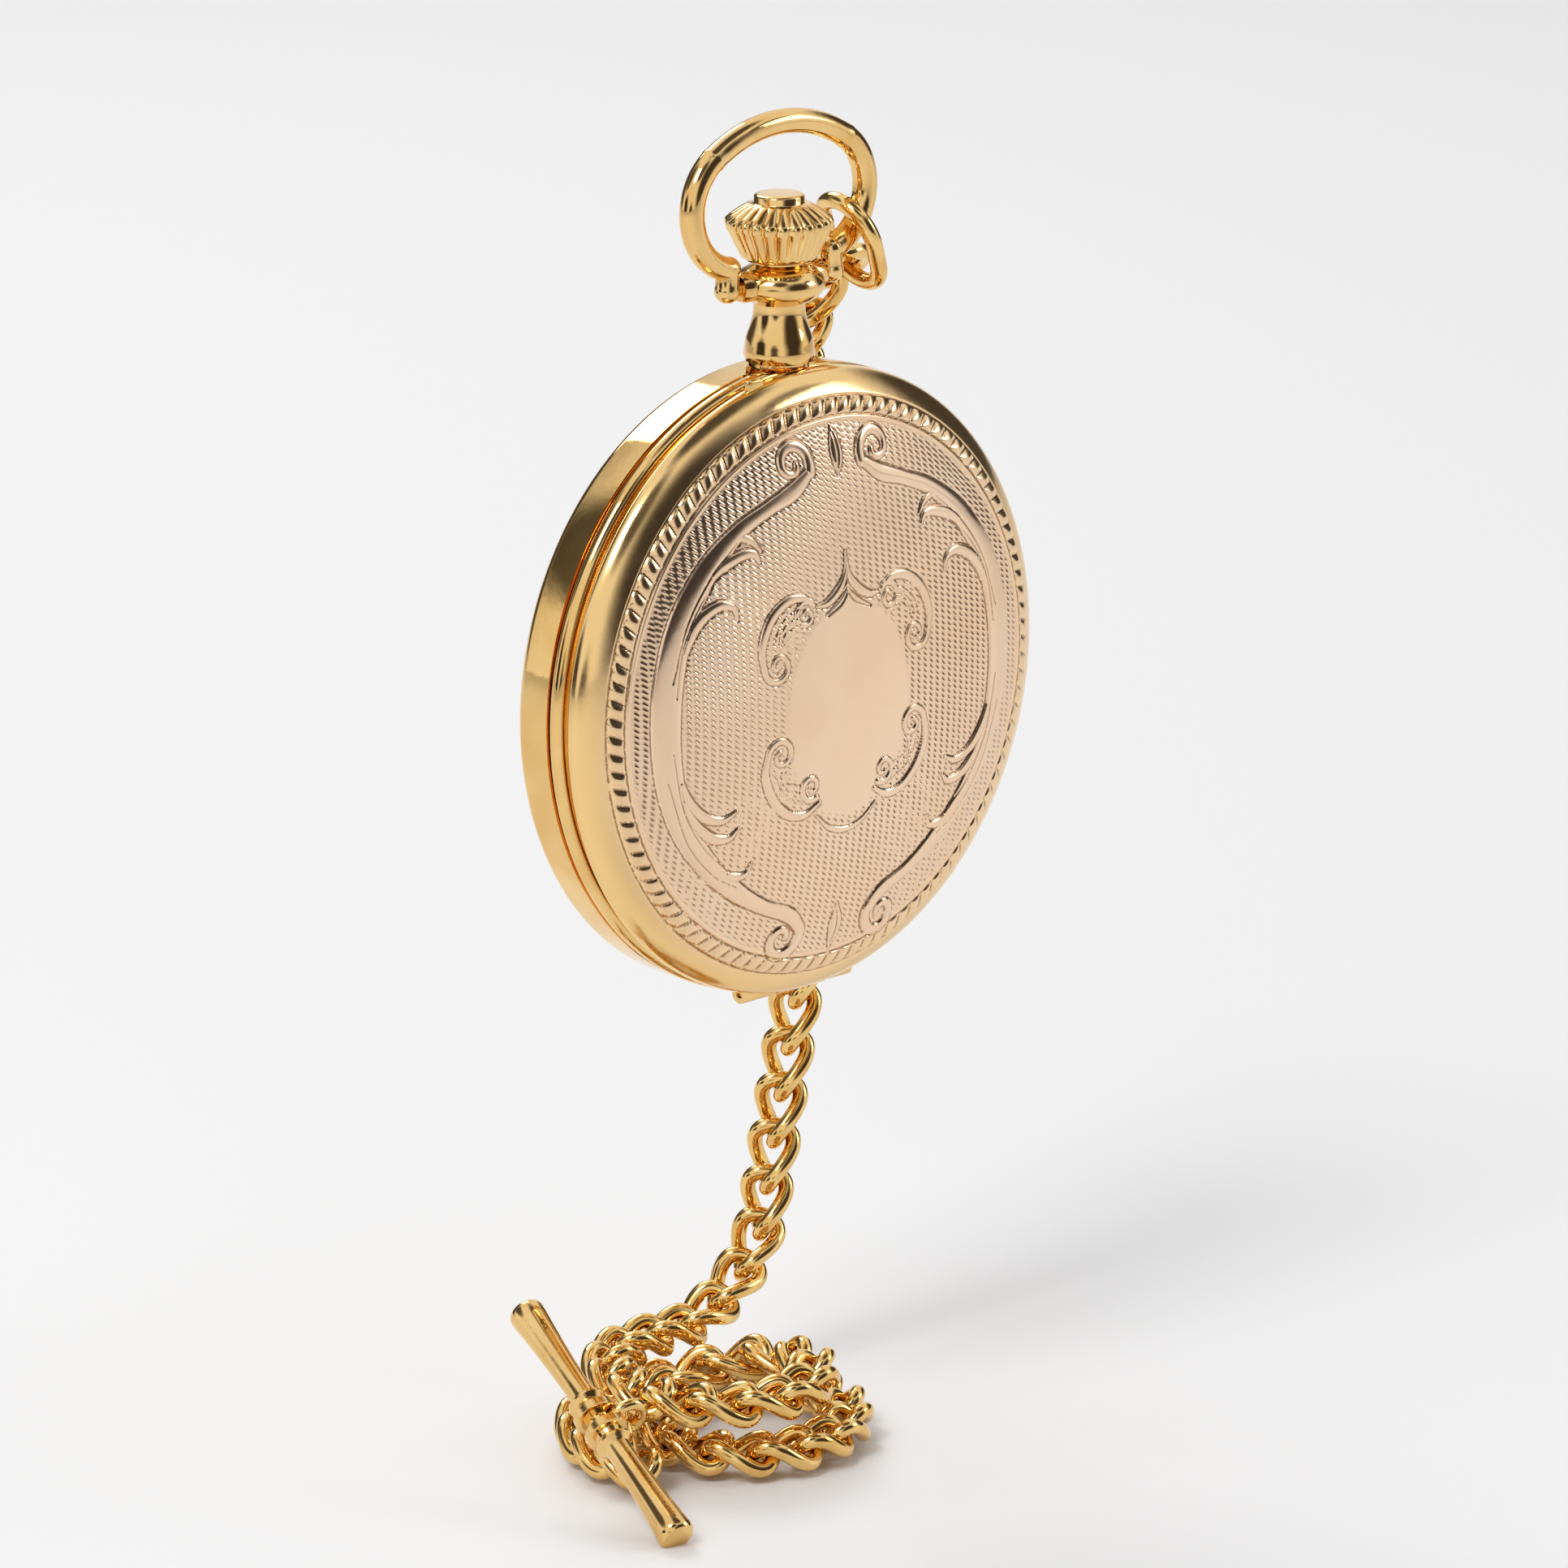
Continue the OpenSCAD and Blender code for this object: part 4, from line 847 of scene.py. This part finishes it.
def numeral(text, angle, radius, size):
    """A Roman numeral, drawn out tall and set with its foot to the dial's middle."""
    curve = bpy.data.curves.new("numeral", "FONT")
    curve.body = text
    curve.size = size * MM
    curve.align_x, curve.align_y = "CENTER", "CENTER"
    curve.extrude = 0.012 * MM
    maker = bpy.data.objects.new("numeral_maker", curve)
    bpy.context.scene.collection.objects.link(maker)
    bpy.context.view_layer.update()
    mesh = bpy.data.meshes.new_from_object(maker.evaluated_get(bpy.context.evaluated_depsgraph_get()))
    bpy.data.objects.remove(maker)
    co = mesh_points(mesh) / MM * (0.82, 1.25, 1)
    turn = angle - math.pi / 2
    x = radius * math.cos(angle) + co[:, 0] * math.cos(turn) - co[:, 1] * math.sin(turn)
    y = radius * math.sin(angle) + co[:, 0] * math.sin(turn) + co[:, 1] * math.cos(turn)
    mesh.vertices.foreach_set("co", stand(np.stack([x, y, DIAL_FACE + 0.016 + co[:, 2]], 1)).ravel())
    mesh.materials.clear()
    mesh.materials.append(PAINT)
    return mesh


def dial_print():
    """Tracks and Roman numerals; VI gives way to the seconds dial."""
    ticks("minute_track", (0, 0), DIAL_FACE, 60, 17.0, 17.9, 0.14)
    ticks("seconds_track", SUB_CENTER, SUB_FACE, 60, 3.7, 4.2, 0.07)
    for hour, text in enumerate(NUMERALS):
        if text == "VI":
            continue
        mesh = numeral(text, math.pi / 2 - hour * math.pi / 6, 14.2, 3.6)
        place("numeral_%02d" % (hour or 12), mesh, "case")


# ---- Stage ----

def floor():
    """A pale plain floor just under the part."""
    bpy.ops.mesh.primitive_plane_add(size=4, location=(0, 0, CAD_BOX[0][2] - 0.0001))
    plane = bpy.context.object
    plane.name = "floor"
    s = Shader("floor")
    s.set("Base Color", (0.9, 0.9, 0.9, 1))
    s.set("Roughness", 0.55)
    plane.data.materials.append(s.material)


def direction(azimuth, elevation):
    """Unit vector; azimuth 0 is -Y, towards the viewer of the dial, and grows towards +X."""
    a, e = math.radians(azimuth), math.radians(elevation)
    return Vector((math.sin(a) * math.cos(e), -math.cos(a) * math.cos(e), math.sin(e)))


def area(name, azimuth, elevation, distance, size, power):
    """A square soft light, aimed at the watch."""
    light = bpy.data.lights.new(name, "AREA")
    light.size = size
    light.energy = power
    obj = bpy.data.objects.new(name, light)
    bpy.context.scene.collection.objects.link(obj)
    centre = Vector((0, 0, -0.01))
    obj.location = centre + direction(azimuth, elevation) * distance
    obj.rotation_euler = (centre - obj.location).to_track_quat("-Z", "Y").to_euler()


def dark_patch(nodes, links, view, colour, azimuth, elevation, edge, core, dark):
    """Darkens a colour round one direction; edge and core are cosines of its soft border."""
    dot = nodes.new("ShaderNodeVectorMath")
    dot.operation = "DOT_PRODUCT"
    links.new(view, dot.inputs[0])
    dot.inputs[1].default_value = direction(azimuth, elevation)
    step = nodes.new("ShaderNodeMapRange")
    step.interpolation_type = "SMOOTHSTEP"
    step.inputs["From Min"].default_value = edge
    step.inputs["From Max"].default_value = core
    step.inputs["To Max"].default_value = dark
    links.new(dot.outputs["Value"], step.inputs["Value"])
    mix = nodes.new("ShaderNodeMix")
    mix.data_type = "RGBA"
    links.new(step.outputs["Result"], mix.inputs[0])
    if colour:
        links.new(colour, mix.inputs[6])
    else:
        mix.inputs[6].default_value = (0.92, 0.92, 0.93, 1)
    mix.inputs[7].default_value = (0.02, 0.012, 0.01, 1)
    return mix.outputs[2]


def world():
    """White studio with a few dark soft patches, which polished gold mirrors as its brown tones."""
    studio = bpy.data.worlds.new("studio")
    bpy.context.scene.world = studio
    studio.use_nodes = True
    nodes, links = studio.node_tree.nodes, studio.node_tree.links
    nodes.clear()
    out = nodes.new("ShaderNodeOutputWorld")
    background = nodes.new("ShaderNodeBackground")
    links.new(background.outputs[0], out.inputs[0])
    view = nodes.new("ShaderNodeTexCoord").outputs["Generated"]
    colour = None
    for patch in ((6, 16, 0.76, 0.955, 0.96), (-108, 2, 0.93, 0.985, 0.97), (92, 8, 0.86, 0.965, 0.95),
                  (178, 5, 0.72, 0.93, 0.93), (-60, -8, 0.94, 0.985, 0.93), (38, 76, 0.90, 0.975, 0.92),
                  (-40, 48, 0.94, 0.985, 0.9), (46, 30, 0.965, 0.99, 0.85), (-140, 35, 0.93, 0.98, 0.9)):
        colour = dark_patch(nodes, links, view, colour, *patch)
    path = nodes.new("ShaderNodeLightPath")
    show = nodes.new("ShaderNodeMix")
    show.data_type = "RGBA"
    links.new(path.outputs["Is Camera Ray"], show.inputs[0])
    links.new(colour, show.inputs[6])
    show.inputs[7].default_value = (1, 1, 1, 1)
    links.new(show.outputs[2], background.inputs[0])


def camera():
    """A long lens, a little above the watch and well to its left."""
    low, high = (Vector(corner) for corner in CAD_BOX)
    centre = (low + high) / 2
    data = bpy.data.cameras.new("camera")
    data.sensor_fit = "HORIZONTAL"
    data.angle = math.radians(10.6)
    data.clip_start, data.clip_end = 0.01, 20
    obj = bpy.data.objects.new("camera", data)
    bpy.context.scene.collection.objects.link(obj)
    obj.location = centre + direction(-44.4, 15.6) * 0.637
    obj.rotation_euler = (centre - obj.location).to_track_quat("-Z", "Y").to_euler()
    bpy.context.scene.camera = obj


dress_nodes()
cover_shell(1400, 360)
lid_hinge()
crown()
curb_links()
bar_sleeve()
dial_print()
floor()
world()
area("key", -80, 50, 0.9, 0.30, 2.6)
area("fill", 50, 25, 1.0, 0.35, 1.3)
area("rim", 160, 40, 0.9, 0.35, 1.8)
camera()
bpy.context.scene.view_settings.view_transform = "Standard"
